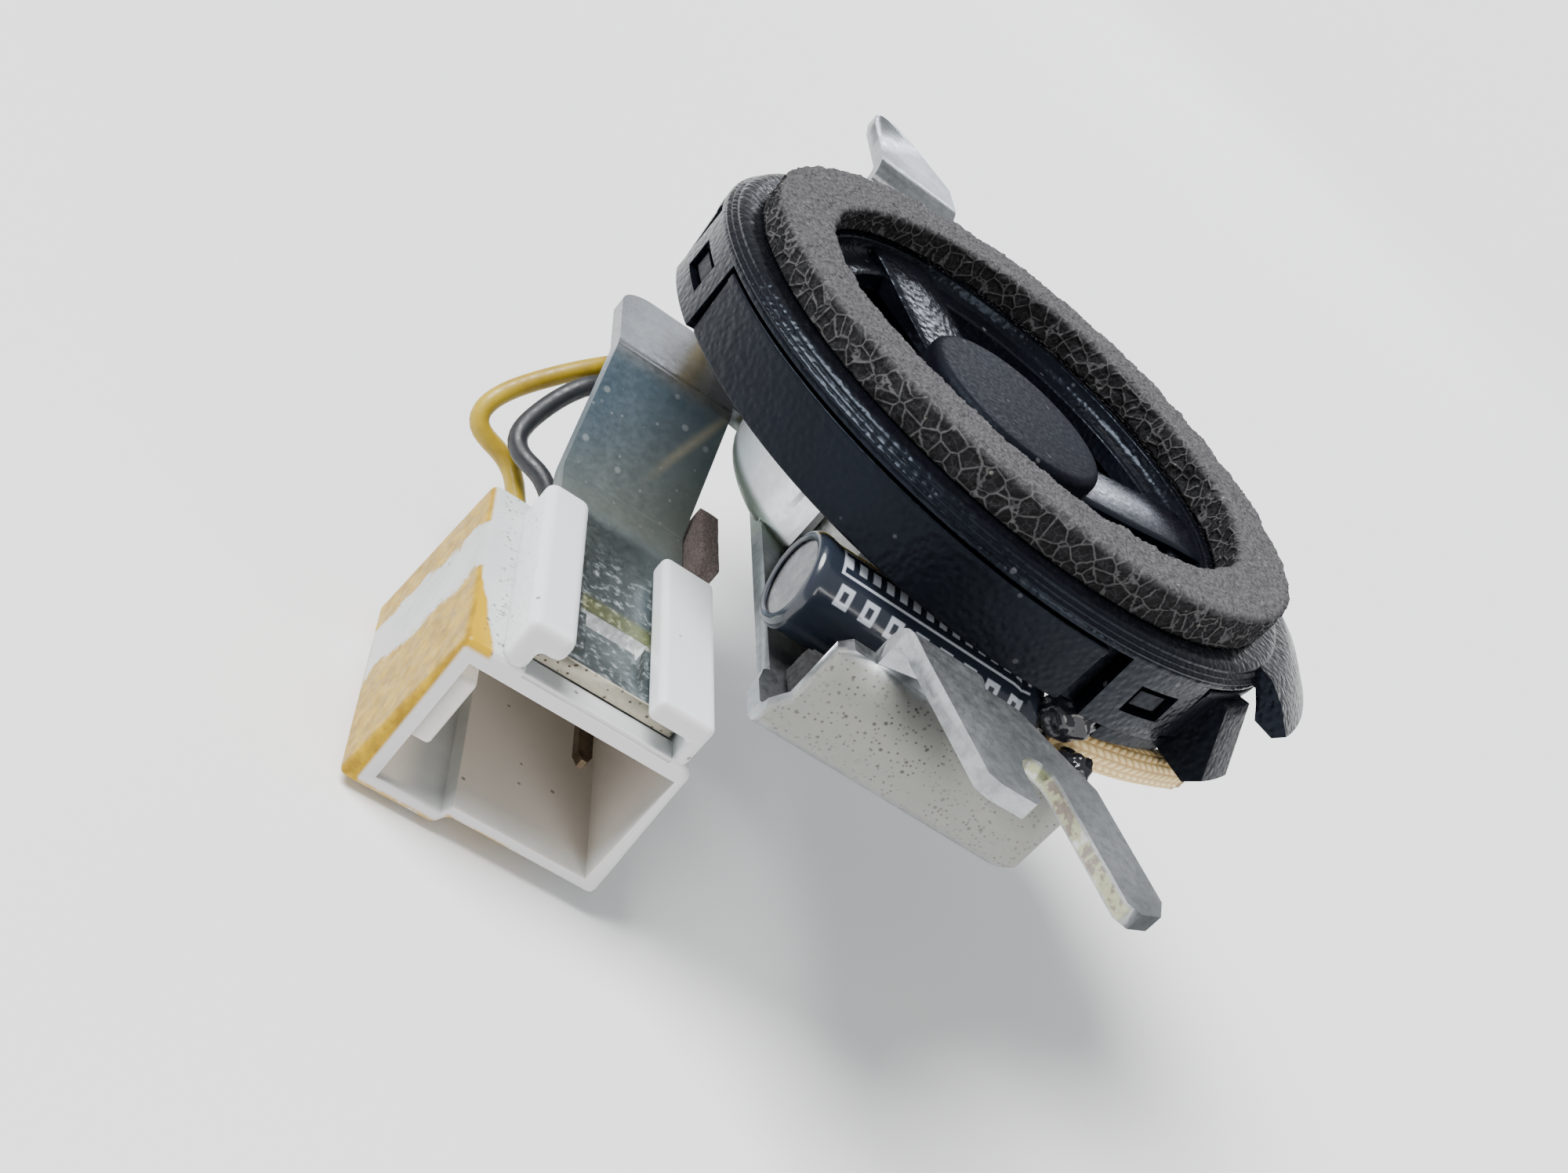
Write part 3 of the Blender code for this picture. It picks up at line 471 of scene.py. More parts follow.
    def specks(self, size, share, soft=0.06):
        """Small round spots in some of the cells of a pattern."""
        near = self.ramp(self.cells(size), 0.10, 0.10 + soft, 1.0, 0.0)
        colour = self.cells(size, "Color")
        parts = self.nodes.new("ShaderNodeSeparateColor")
        self.link(colour, parts.inputs[0])
        chosen = self.math("LESS_THAN", parts.outputs[0], share)
        return self.times(near, chosen)


# ---- materials ----

def black_plastic(name, roughness=0.42, grain=0.5, tint=(0.0022, 0.0026, 0.0042), gloss=0.14):
    """Moulded black plastic with a leather grain, dust specks and worn gloss."""
    s = Shader(name, tint, roughness)
    s.set("Specular IOR Level", gloss)
    s.set("Specular Tint", (0.66, 0.80, 1.0, 1.0))
    broad = s.noise(6.0, 4.0, 0.6)
    fine = s.noise(0.35, 5.0, 0.65)
    dust = s.specks(1.5, 0.22)
    lint = s.times(s.ramp(s.noise(0.5, 6.0, 0.7), 0.66, 0.78), 0.35)
    pale = s.either(s.times(dust, 0.5), s.times(lint, 0.4))
    bluish = s.mix(s.ramp(broad, 0.35, 0.7), tint, tuple(channel * 1.7 for channel in tint))
    s.colour(s.mix(pale, bluish, (0.09, 0.09, 0.10)))
    s.roughness(s.plus(s.ramp(fine, 0.3, 0.7, roughness - 0.07, roughness + 0.10),
                       s.times(broad, 0.06)))
    s.bump(s.cells(0.45, feature="SMOOTH_F1"), 0.13, grain)
    s.bump(fine, 0.03, grain * 0.7)
    return s.material


def foam_material():
    """Open-cell foam: thin pale cell walls round pits painted dark as shade, and a felted skin on top."""
    s = Shader("foam_cells", (0.08, 0.078, 0.08), 0.95)
    s.set("Specular IOR Level", 0.25)
    skin = s.attribute("skin")
    fibre = s.noise(0.28, 6.0, 0.75)
    grit = s.noise(0.6, 4.0, 0.7)
    edge = s.cells(1.15, feature="DISTANCE_TO_EDGE")
    small = s.cells(0.55, feature="DISTANCE_TO_EDGE")
    wall = s.mix(fibre, (0.045, 0.045, 0.047), (0.135, 0.132, 0.136))
    # The cells' pits are painted near black: painted shade in the hollows of the open cells.
    pit_shade = s.mix(s.ramp(small, 0.02, 0.08), (0.026, 0.026, 0.028), (0.009, 0.009, 0.010))
    cell = s.mix(s.ramp(edge, 0.01, 0.085), wall, pit_shade)
    nap = s.mix(s.ramp(fibre, 0.30, 0.70), (0.04, 0.0395, 0.042), (0.15, 0.147, 0.152))
    nap = s.mix(s.ramp(grit, 0.52, 0.68, 0.0, 0.55), nap, (0.03, 0.03, 0.032))
    lint = s.specks(0.9, 0.10, 0.10)
    s.colour(s.mix(s.times(lint, 0.6), s.mix(skin, cell, nap), (0.30, 0.29, 0.25)))
    hollow = s.times(s.ramp(edge, 0.0, 0.22, 1.0, 0.0), s.outside(skin))
    s.bump(hollow, 0.5, 0.8)
    s.bump(fibre, 0.16, 0.9)
    s.bump(s.times(s.ramp(small, 0.0, 0.3), skin), 0.15, 0.6)
    return s.material


def zinc_material():
    """Zinc-plated sheet whose tone changes from face to face, with pits, bloom and a raw cut end; the
    riser's blue-to-green tone and the pot collar's bright silver are painted reflections, the top fold is
    painted darker as shade and the lance window's far edge has a painted highlight.
    """
    s = Shader("zinc_sheet", (0.4, 0.42, 0.42), 0.38, 0.9)
    x = s.axis("X")
    y = s.axis("Y")
    z = s.axis("Z")
    cloud = s.noise(7.0, 5.0, 0.6)
    fine = s.noise(0.5, 5.0, 0.65)
    streak = s.noise(2.2, 3.0, 0.5)
    plate = s.mix(s.ramp(cloud, 0.3, 0.72), (0.24, 0.255, 0.265), (0.44, 0.455, 0.465))
    mottle = s.ramp(s.noise(0.9, 6.0, 0.75), 0.46, 0.62, 0.0, 0.35)
    plate = s.mix(mottle, plate, (0.13, 0.14, 0.145))
    flange = s.times(s.ramp(y, -30.2, -30.9), s.ramp(z, 8.2, 7.2))
    plate = s.mix(flange, plate, s.mix(cloud, (0.205, 0.205, 0.185), (0.255, 0.255, 0.235)))
    spots = s.either(s.specks(0.7, 0.9, 0.16), s.specks(0.36, 0.85, 0.24))
    spots = s.times(spots, s.ramp(s.noise(3.5, 3.0), 0.34, 0.6, 0.35, 1.0))
    plate = s.mix(s.times(s.times(spots, flange), 0.8), plate, (0.035, 0.03, 0.024))

    side = s.ramp(x, -11.8, -12.6)
    riser = s.times(s.band(y, -8.5, 5.0, 1.0), side)
    # Dark blue at the riser's top fading to greenish grey at its foot: a painted reflection.
    foot = s.plus(s.times(x, 0.6), s.times(y, -1.0))
    steel = s.mix(s.ramp(foot, -16.0, -4.0), (0.045, 0.085, 0.12), (0.15, 0.17, 0.15))
    flecks = s.either(s.specks(1.7, 0.3, 0.10), s.specks(0.8, 0.35, 0.08))
    steel = s.mix(s.times(flecks, 0.4), steel, (0.46, 0.50, 0.52))
    bar = s.plus(s.times(x, -1.72), y)
    bar = s.times(s.band(bar, 28.9, 30.1, 0.7), s.ramp(x, -18.6, -16.6))
    steel = s.mix(s.times(bar, 0.6), steel, (0.42, 0.38, 0.26))
    plate = s.mix(s.times(riser, 0.85), plate, steel)
    # The riser's top fold is painted darker grey: painted shade.
    shaded_fold_top = s.times(s.ramp(y, 4.6, 6.4), side)
    plate = s.mix(s.times(shaded_fold_top, 0.6), plate, (0.19, 0.195, 0.205))

    tongue = s.times(s.ramp(z, -3.6, -4.5), s.ramp(y, -6.0, -9.5), side)
    plate = s.mix(s.times(tongue, 0.75), plate, (0.16, 0.20, 0.21))
    powder = s.ramp(s.noise(0.7, 5.0, 0.7), 0.50, 0.66)
    bloom = s.times(s.times(powder, tongue), s.ramp(y, -10.0, -16.0))
    plate = s.mix(s.times(bloom, 0.6), plate, (0.50, 0.54, 0.55))
    window = s.times(s.band(x, -21.6, -16.4, 0.15), tongue)
    green = s.times(window, s.band(y, -20.0, -18.2, 0.4))
    plate = s.mix(s.times(green, 0.6), plate, (0.40, 0.42, 0.16))
    # A near-white line along the lance window's far cut edge: a painted highlight.
    cut_edge_highlight = s.times(window, s.band(y, -20.4, -19.95, 0.06))
    plate = s.mix(cut_edge_highlight, plate, (0.82, 0.84, 0.84))

    fold = s.band(z, -0.4, 1.6, 0.6)
    radius = s.math("SQRT", s.plus(s.times(x, x), s.times(y, y)))
    # The pot collar's upright wall is painted bright silver: a painted reflection.
    collar = s.times(s.ramp(z, 1.4, 2.2), s.band(radius, 12.6, 14.6, 0.2))
    plate = s.mix(collar, plate, (0.74, 0.77, 0.78))
    green = s.times(fold, s.band(radius, 12.6, 14.6, 0.5))
    plate = s.mix(s.times(green, 0.5), plate, (0.30, 0.38, 0.30))
    ear = s.times(s.ramp(y, -31.0, -31.6), s.band(z, 10.1, 11.0, 0.1))
    across = s.plus(s.times(x, 0.9272), s.times(y, 0.3746))
    ear = s.times(ear, s.band(across, -17.5, -13.9, 0.1))
    patch = s.noise(1.3, 3.0, 0.6)
    stain = s.mix(s.ramp(patch, 0.42, 0.5), (0.16, 0.10, 0.05), (0.40, 0.42, 0.20))
    stain = s.mix(s.ramp(patch, 0.56, 0.62), stain, (0.62, 0.62, 0.58))
    plate = s.mix(s.times(ear, 0.6), plate, stain)
    end = s.times(s.ramp(y, -25.75, -25.95), s.ramp(z, -3.5, -4.5), side)
    grime = s.mix(s.noise(0.4, 4.0), (0.42, 0.37, 0.26), (0.66, 0.62, 0.52))
    grime = s.mix(s.specks(0.45, 0.8, 0.2), grime, (0.08, 0.06, 0.04))
    plate = s.mix(end, plate, grime)
    s.colour(plate)
    dull = s.either(s.times(flange, 0.75), s.times(bloom, 0.5))
    dull = s.either(dull, s.times(end, 0.8))
    dull = s.either(dull, s.times(riser, 0.35))
    s.metallic(s.math("SUBTRACT", 0.92, s.times(dull, 0.85)))
    s.roughness(s.plus(s.ramp(fine, 0.25, 0.75, 0.26, 0.44), s.times(dull, 0.3)))
    s.bump(fine, 0.012, 0.5)
    s.bump(streak, 0.05, 0.35)
    return s.material


def nylon_material():
    """Milky moulded nylon with dirt, a browned socket, smears of yellow paint, and painted light on the
    socket's inner left wall.
    """
    s = Shader("milky_nylon", (0.55, 0.57, 0.56), 0.36)
    s.set("Specular IOR Level", 0.25)
    x = s.axis("X")
    y = s.axis("Y")
    z = s.axis("Z")
    cloud = s.noise(5.0, 4.0, 0.6)
    shade = s.mix(s.ramp(cloud, 0.3, 0.7), (0.42, 0.445, 0.445), (0.52, 0.54, 0.53))
    shade = s.mix(s.ramp(z, -6.2, -5.2), shade, (0.74, 0.77, 0.79))
    shade = s.mix(s.ramp(y, -27.6, -27.95), shade, (0.60, 0.585, 0.59))
    inside = s.times(s.band(x, -27.25, -12.55, 0.06), s.band(z, -16.75, -7.25, 0.06),
                     s.ramp(y, -27.9, -25.0, 0.35, 1.0))
    shade = s.mix(s.times(inside, 0.8), shade,
                  s.mix(s.ramp(z, -16.5, -9.0), (0.70, 0.64, 0.56), (0.56, 0.49, 0.42)))
    # The socket's inner left wall is painted near white: painted light standing in for light shining
    # through the thin nylon.
    painted_light_left_wall = s.times(s.ramp(x, -24.0, -26.5), s.band(z, -17.6, -7.25, 0.06), s.ramp(y, -27.9, -27.0),
                        s.ramp(x, -27.4, -27.25))
    shade = s.mix(painted_light_left_wall, shade, (0.95, 0.90, 0.82))
    wobble = s.times(s.math("SUBTRACT", s.noise(2.6, 6.0, 0.75), 0.5), 5.2)
    along = s.plus(s.plus(y, s.times(z, 0.132)), wobble)
    left = s.ramp(x, -27.9, -28.2)
    first = s.ramp(along, -15.5, -15.0)
    second = s.ramp(along, -20.6, -21.2)
    paint = s.times(left, s.either(first, second))
    reach = s.times(s.math("SUBTRACT", -20.0, y), 0.22)
    reach = s.plus(reach, s.times(wobble, 0.15))
    inset = s.math("SUBTRACT", s.plus(x, 28.3), reach)
    corner = s.times(s.ramp(inset, 0.15, -0.15), s.band(z, -6.4, -5.2, 0.2), s.ramp(y, -19.8, -20.4))
    paint = s.either(paint, corner)
    paint = s.times(paint, s.ramp(s.noise(0.9, 5.0, 0.7), 0.20, 0.34))
    lip = s.times(s.ramp(z, -17.25, -17.5), s.ramp(x, -22.5, -22.0), s.ramp(x, -13.5, -17.5))
    rim = s.either(s.ramp(z, -18.05, -18.35), lip)
    rim = s.times(rim, s.ramp(s.noise(1.6, 4.0, 0.7), 0.42, 0.52))
    paint = s.either(paint, s.times(rim, 0.8))
    brushed = s.ramp(s.noise(1.3, 5.0, 0.7), 0.35, 0.68)
    pigment = s.mix(left, (0.50, 0.30, 0.0), s.mix(brushed, (0.27, 0.155, 0.0), (0.46, 0.285, 0.0)))
    shade = s.mix(paint, shade, pigment)
    trail = s.times(s.band(x, -27.3, -26.1, 0.35), s.ramp(z, -6.4, -5.9))
    grit = s.either(s.specks(0.45, 0.8, 0.3), s.ramp(s.noise(0.9, 5.0, 0.8), 0.60, 0.66))
    grit = s.times(grit, trail)
    dirt = s.either(grit, s.times(s.specks(1.3, 0.16, 0.05), 0.8))
    shade = s.mix(s.times(dirt, 0.85), shade, (0.08, 0.065, 0.05))
    s.colour(shade)
    s.roughness(s.ramp(s.noise(0.8, 4.0), 0.3, 0.7, 0.30, 0.46))
    s.set("Subsurface Weight", 0.12)
    s.set("Subsurface Radius", (1.0, 0.9, 0.75))
    s.set("Subsurface Scale", 0.0008)
    s.bump(s.noise(1.4, 4.0, 0.5), 0.05, 0.4)
    return s.material


def shrink_material():
    """Glossy black sleeve with a printed white band of generic dashes."""
    s = Shader("printed_sleeve", (0.012, 0.014, 0.02), 0.16)
    x = s.axis("X")
    y = s.math("SUBTRACT", s.axis("Y"), CAP_CENTRE[1])
    z = s.math("SUBTRACT", s.axis("Z"), CAP_CENTRE[2])
    angle = s.math("ARCTAN2", z, y)
    around = s.times(angle, CAP_R)
    length = s.band(x, -11.3, 3.6, 0.06)
    frame_lines = s.either(s.band(around, 4.7, 4.88, 0.04), s.band(around, 6.75, 6.93, 0.04))
    frame_lines = s.times(frame_lines, length)
    nose = s.times(s.band(x, -11.5, -11.3, 0.04), s.band(around, 4.7, 6.93, 0.04))
    fine = s.math("FRACT", s.times(x, 0.95))
    small = s.times(s.band(fine, 0.2, 0.75, 0.05), s.band(around, 5.3, 6.3, 0.05))
    coarse = s.math("FRACT", s.times(x, 0.52))
    large = s.times(s.band(coarse, 0.18, 0.72, 0.03), s.band(around, 7.5, 8.9, 0.05))
    hollow = s.times(s.band(coarse, 0.34, 0.56, 0.03), s.band(around, 7.85, 8.55, 0.05))
    large = s.times(large, s.outside(hollow))
    marks = s.times(s.either(small, large), length)
    print_mask = s.either(s.either(frame_lines, nose), marks)
    print_mask = s.times(print_mask, s.ramp(s.noise(0.4, 4.0), 0.2, 0.36))
    s.colour(s.mix(print_mask, (0.016, 0.021, 0.032), (0.50, 0.54, 0.60)))
    s.roughness(s.ramp(s.noise(1.2, 4.0), 0.3, 0.7, 0.12, 0.24))
    s.bump(s.noise(1.6, 3.0), 0.05, 0.35)
    s.set("Coat Weight", 0.3)
    return s.material


def metal(name, dark, light, roughness, cloud=2.0, brushed=False):
    """Bare metal with cloudy tone and fine scratches."""
    s = Shader(name, light, roughness, 1.0)
    tone = s.noise(cloud, 5.0, 0.6)
    fine = s.noise(0.15, 4.0, 0.6)
    s.colour(s.mix(s.ramp(tone, 0.3, 0.7), dark, light))
    s.roughness(s.ramp(fine, 0.3, 0.7, roughness - 0.08, roughness + 0.1))
    s.bump(s.cells(0.3) if brushed else fine, 0.01, 0.4)
    return s.material


def soft_plastic(name, dark, light, roughness):
    """Flexible insulation: slight colour change, dull patches and scuffs."""
    s = Shader(name, light, roughness)
    tone = s.noise(3.0, 4.0, 0.6)
    s.colour(s.mix(s.ramp(tone, 0.3, 0.7), dark, light))
    s.roughness(s.ramp(s.noise(0.5, 4.0), 0.3, 0.7, roughness - 0.1, roughness + 0.12))
    s.bump(s.noise(0.7, 4.0), 0.03, 0.35)
    return s.material


def plain(name, dark, light, roughness, tone, relief, depth, strength, span=None):
    """One-tone stuff. Tone and relief are arguments of noise, or relief is one cell size."""
    s = Shader(name, light, roughness)
    cloud = s.noise(*tone)
    s.colour(s.mix(s.ramp(cloud, *span) if span else cloud, dark, light))
    s.bump(s.noise(*relief) if len(relief) > 1 else s.cells(*relief), depth, strength)
    return s.material


def film_material():
    """Thin satin film of the dome and its surround."""
    s = Shader("satin_film", (0.20, 0.20, 0.24), 0.38)
    s.colour(s.mix(s.ramp(s.noise(4.0, 4.0), 0.3, 0.7), (0.13, 0.14, 0.19), (0.27, 0.28, 0.35)))
    s.bump(s.cells(0.35), 0.015, 0.4)
    s.bump(s.noise(1.8, 3.0), 0.06, 0.3)
    return s.material


def braid_material():
    """Varnished tan braid, darker between its strands and at its cut end."""
    s = Shader("tan_braid", (0.72, 0.55, 0.32), 0.6)
    gap = s.attribute("gap")
    end = s.attribute("end")
    strand = s.mix(s.noise(1.4, 4.0), (0.84, 0.60, 0.26), (0.97, 0.83, 0.48))
    strand = s.mix(gap, strand, (0.50, 0.31, 0.11))
    s.colour(s.mix(end, strand, (0.16, 0.08, 0.035)))
    s.bump(s.noise(0.2, 4.0), 0.02, 0.4)
    return s.material


# ---- head ----

def front_cap(material, glossy, button_material):
    """Front frame with its ridged rim, three ramped spokes, domed button, snap legs and hook."""
    rim = [(24.9, SEAM + 0.16), (25.0, SEAM + 0.24), (25.0, SEAM + 0.50), (24.93, SEAM + 0.60),
           (24.98, SEAM + 0.72), (24.9, SEAM + 0.84), (24.72, SEAM + 0.90), (24.74, SEAM + 1.04),
           (24.6, SEAM + 1.16), (24.44, SEAM + 1.22), (24.44, SEAM + 1.40), (24.28, SEAM + 1.56),
           (24.0, FACE - 0.06), (23.6, FACE)]
    inside = [(17.85, FACE), (17.62, FACE - 0.16), (17.55, SEAM + 1.0), (17.2, SEAM + 0.62),
              (16.6, SEAM + 0.5), (16.1, SEAM + 0.5), (15.9, SEAM + 0.62), (15.2, SEAM + 0.62),
              (14.95, SEAM + 0.46), (14.9, SEAM - 0.8), (18.4, SEAM - 0.8), (18.4, SEAM + 0.4),
              (21.6, SEAM + 0.4), (21.6, SEAM - 1.4), (22.7, SEAM - 1.4), (22.7, SEAM + 0.16)]
    cap = make_piece("cap_shell", turned(rim + inside), material)
    for azimuth in LEG_AZIMUTHS:
        add(cap, sector(azimuth, LEG_WIDTH, WALL_BOTTOM, SEAM + 0.45, LEG_INNER_R, 24.97, 16))
        cut(cap, sector(azimuth + 0.4, LEG_WINDOW, SEAM - 3.4, SEAM - 1.2, LEG_INNER_R - 1.0, 26.0, 8))
    hook = [(24.2, SEAM + 0.35), (25.2, SEAM + 0.25), (26.0, SEAM - 0.5), (26.7, SEAM - 1.3),
            (28.3, SEAM - 1.3), (28.9, SEAM - 0.5), (27.2, SEAM + 0.75), (25.5, SEAM + 1.5),
            (24.3, SEAM + 1.5)]
    add(cap, turned(hook, 18, -40.0, 34.0))
    round_edges(cap, 0.10, 2, 40.0)

    spokes = bmesh.new()
    half_width = 3.3
    ramp_up = ((5.5, 0.0, 0.0), (7.5, 0.1, 0.1), (9.0, 0.3, 0.16), (11.0, 0.55, 0.2),
               (13.0, 0.85, 0.2), (15.0, 1.15, 0.16), (16.6, 1.3, 0.1), (17.6, 1.35, 0.0))
    for azimuth in SPOKE_AZIMUTHS:
        turn = Matrix.Rotation(math.radians(azimuth), 3, "Z")
        rows = []
        for radius, top, crown in ramp_up:
            row = []
            for across, level in ((-1.0, -0.7), (-1.0, top - 0.22), (-0.93, top - 0.05), (-0.8, top),
                                  (0.0, top + crown), (0.8, top), (0.93, top - 0.05),
                                  (1.0, top - 0.22), (1.0, -0.7)):
                point = turn @ Vector((radius, across * half_width, SEAM + level))
                row.append(spokes.verts.new(point * MM))
            rows.append(row)
        for first, second in zip(rows, rows[1:]):
            for index in range(len(first)):
                after = (index + 1) % len(first)
                spokes.faces.new([first[index], first[after], second[after], second[index]])
        spokes.faces.new(rows[0])
        spokes.faces.new(list(reversed(rows[-1])))
    arms = make_piece("cap_spokes", spokes, glossy, 50.0)
    arms.data.materials.append(material)
    for face in arms.data.polygons:
        face.material_index = 0 if face.center.x > 0.005 else 1

    top = SEAM + 1.87
    button = [(0.0, top)]
    button += [(radius, top - 0.10 * (radius / 6.9) ** 2) for radius in (1.5, 3.0, 4.5, 6.0, 6.9)]
    button += arc((6.9, top - 0.82), 0.72, 90.0, 0.0, 6)[1:]
    button += [(7.63, SEAM + 0.35), (7.45, SEAM + 0.2), (3.4, SEAM + 0.2), (3.2, SEAM - 0.65),
               (0.0, SEAM - 0.65)]
    disc = make_piece("cap_button", turned(button, 96), button_material, 50.0)
    return cap, arms, disc


def rear_housing(material):
    """Basket with its leg slots, catches, tapered wall, ribs inside and the glued lug."""
    top = SEAM - 0.06
    profile = [(24.9, top), (24.99, top - 0.12), (24.97, SEAM - 0.62), (24.90, SEAM - 0.70),
               (24.66, WALL_BOTTOM + 0.25), (24.45, WALL_BOTTOM), (12.9, WALL_BOTTOM),
               (12.8, WALL_BOTTOM + 0.1),
               (12.8, FLOOR_TOP), (14.4, FLOOR_TOP), (14.4, FLOOR_TOP + 0.2), (17.2, FLOOR_TOP + 0.2),
               (17.2, FLOOR_TOP), (23.0, FLOOR_TOP), (23.0, top)]
    housing = make_piece("basket", turned(profile), material)
    recess = LEG_INNER_R - 0.3
    for azimuth in LEG_AZIMUTHS:
        cut(housing, sector(azimuth - 1.6, LEG_WIDTH + 5.6, WALL_BOTTOM - 0.6, SEAM + 0.6,
                            recess, 26.0, 14))
        add(housing, sector(azimuth + 0.4, LEG_WINDOW - 3.0, SEAM - 2.9, SEAM - 1.7,
                            recess - 0.2, recess + 0.95, 6))
    lug = [(24.0, SEAM - 0.9), (25.7, SEAM - 0.6), (28.1, SEAM - 5.2), (27.2, SEAM - 6.3),
           (24.0, SEAM - 6.1)]
    add(housing, turned(lug, 8, -50.5, 9.5))
    skirt = [(22.4, SKIRT_BOTTOM), (24.4, SKIRT_BOTTOM), (24.4, WALL_BOTTOM - 0.3),
             (23.6, WALL_BOTTOM - 0.3), (23.6, WALL_BOTTOM + 0.5), (22.4, WALL_BOTTOM + 0.5)]
    add(housing, turned(skirt, 10, -69.0, 19.0))
    for tag in ("terminal_tag_1", "terminal_tag_2"):
        low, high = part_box(tag)
        middle = [(a + b) / 2 / MM for a, b in zip(low, high)]
        cut(housing, box((middle[0] - 0.65, middle[1] - 1.5, WALL_BOTTOM - 1.0),
                         (middle[0] + 0.65, middle[1] + 1.5, FLOOR_TOP + 1.0)))
    round_edges(housing, 0.10, 2, 40.0)
    return housing


def foam_gasket(material):
    """Foam ring with an uneven felted top and rough sides."""
    inner, outer = 18.0, 22.75
    low, high = FACE + 0.12, 18.83
    corner = 0.55
    section = []
    for step in range(16):
        section.append((outer, low + (high - corner - low) * step / 16, 1.0, 0.0, 0.0))
    for radius, height in arc((outer - corner, high - corner), corner, 0.0, 90.0, 4):
        reach = Vector((radius - outer + corner, height - high + corner)).normalized()
        section.append((radius, height, reach.x, reach.y, reach.y))
    width = outer - inner - 2 * corner
    for step in range(1, 20):
        section.append((outer - corner - width * step / 20, high, 0.0, 1.0, 1.0))
    for radius, height in arc((inner + corner, high - corner), corner, 90.0, 180.0, 4):
        reach = Vector((radius - inner - corner, height - high + corner)).normalized()
        section.append((radius, height, reach.x, reach.y, reach.y))
    for step in range(1, 12):
        section.append((inner, high - corner - (high - corner - low) * step / 12, -1.0, 0.0, 0.0))
    around = 1000
    shape = bmesh.new()
    skin_layer = shape.verts.layers.float.new("skin")
    rings = []
    for step in range(around):
        angle = 2 * math.pi * step / around
        away = Vector((math.cos(angle), math.sin(angle), 0.0))
        worn = 0.5 - 0.5 * math.cos(max(0.0, min(1.0, (math.degrees(angle) - 60.0) / 200.0)) * 2 * math.pi)
        ring = []
        for radius, height, out, up, skin in section:
            squeezed = low + (height - low) * (1.0 - 0.30 * worn)
            place = away * radius + Vector((0.0, 0.0, squeezed))
            swell = 0.24 * noise.noise(place * 0.55) + 0.12 * noise.noise(place * 1.9)
            ragged = 0.12 * noise.noise(place * 5.0) + 0.07 * noise.noise(place * 11.0)
            move = (swell + ragged) * (0.8 if skin > 0.5 else 1.0)
            keep = min(1.0, max(0.0, (squeezed - low) / 0.5))
            place += (away * out + Vector((0.0, 0.0, up))) * move * max(0.25, keep)
            vertex = shape.verts.new(place * MM)
            vertex[skin_layer] = skin
            ring.append(vertex)
        rings.append(ring)
    for step in range(around):
        this, following = rings[step], rings[(step + 1) % around]
        for index in range(len(section)):
            after = (index + 1) % len(section)
            shape.faces.new([this[index], this[after], following[after], following[index]])
    return make_piece("foam_ring", shape, material, 180.0)


def moving_parts(film):
    """Dome with its collar, and the half-roll surround, as finer skins."""
    dome_base, dome_top, dome_r = 11.1, 13.05, 9.6
    rise = dome_top - dome_base - 0.15
    radius = (dome_r ** 2 + rise ** 2) / (2 * rise)
    half_angle = math.degrees(math.asin(dome_r / radius))
    centre = (0.0, dome_top - radius)
    outer = arc(centre, radius, 90.0, 90.0 - half_angle, 14)
    inner = arc(centre, radius - 0.2, 90.0 - half_angle, 90.0, 14)
    outer[0] = (0.0, dome_top)
    inner[-1] = (0.0, dome_top - 0.2)
    collar = [(10.45, dome_base + 0.15), (10.45, dome_base)]
    dome = make_piece("dome_skin", turned(outer + collar + inner, 96), film, 50.0)
    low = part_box("surround")[0][2] / MM
    outer = [(r, low + 0.6 * (z - low) + 0.2) for r, z in arc((12.0, low), 1.7, 180.0, 0.0, 14)]
    inner = [(r, low + 0.6 * (z - low)) for r, z in arc((12.0, low), 1.5, 0.0, 180.0, 14)]
    rim = [(16.9, low + 0.2), (16.9, low)]
    roll = make_piece("surround_skin", turned(outer + rim + inner, 96), film, 50.0)
    return dome, roll


# ---- bracket ----

def fork_point(along, across):
    heading = math.radians(FORK_AXIS)
    ahead = Vector((math.cos(heading), math.sin(heading)))
    sideways = Vector((-ahead.y, ahead.x))
    return tuple(ahead * along + sideways * across)


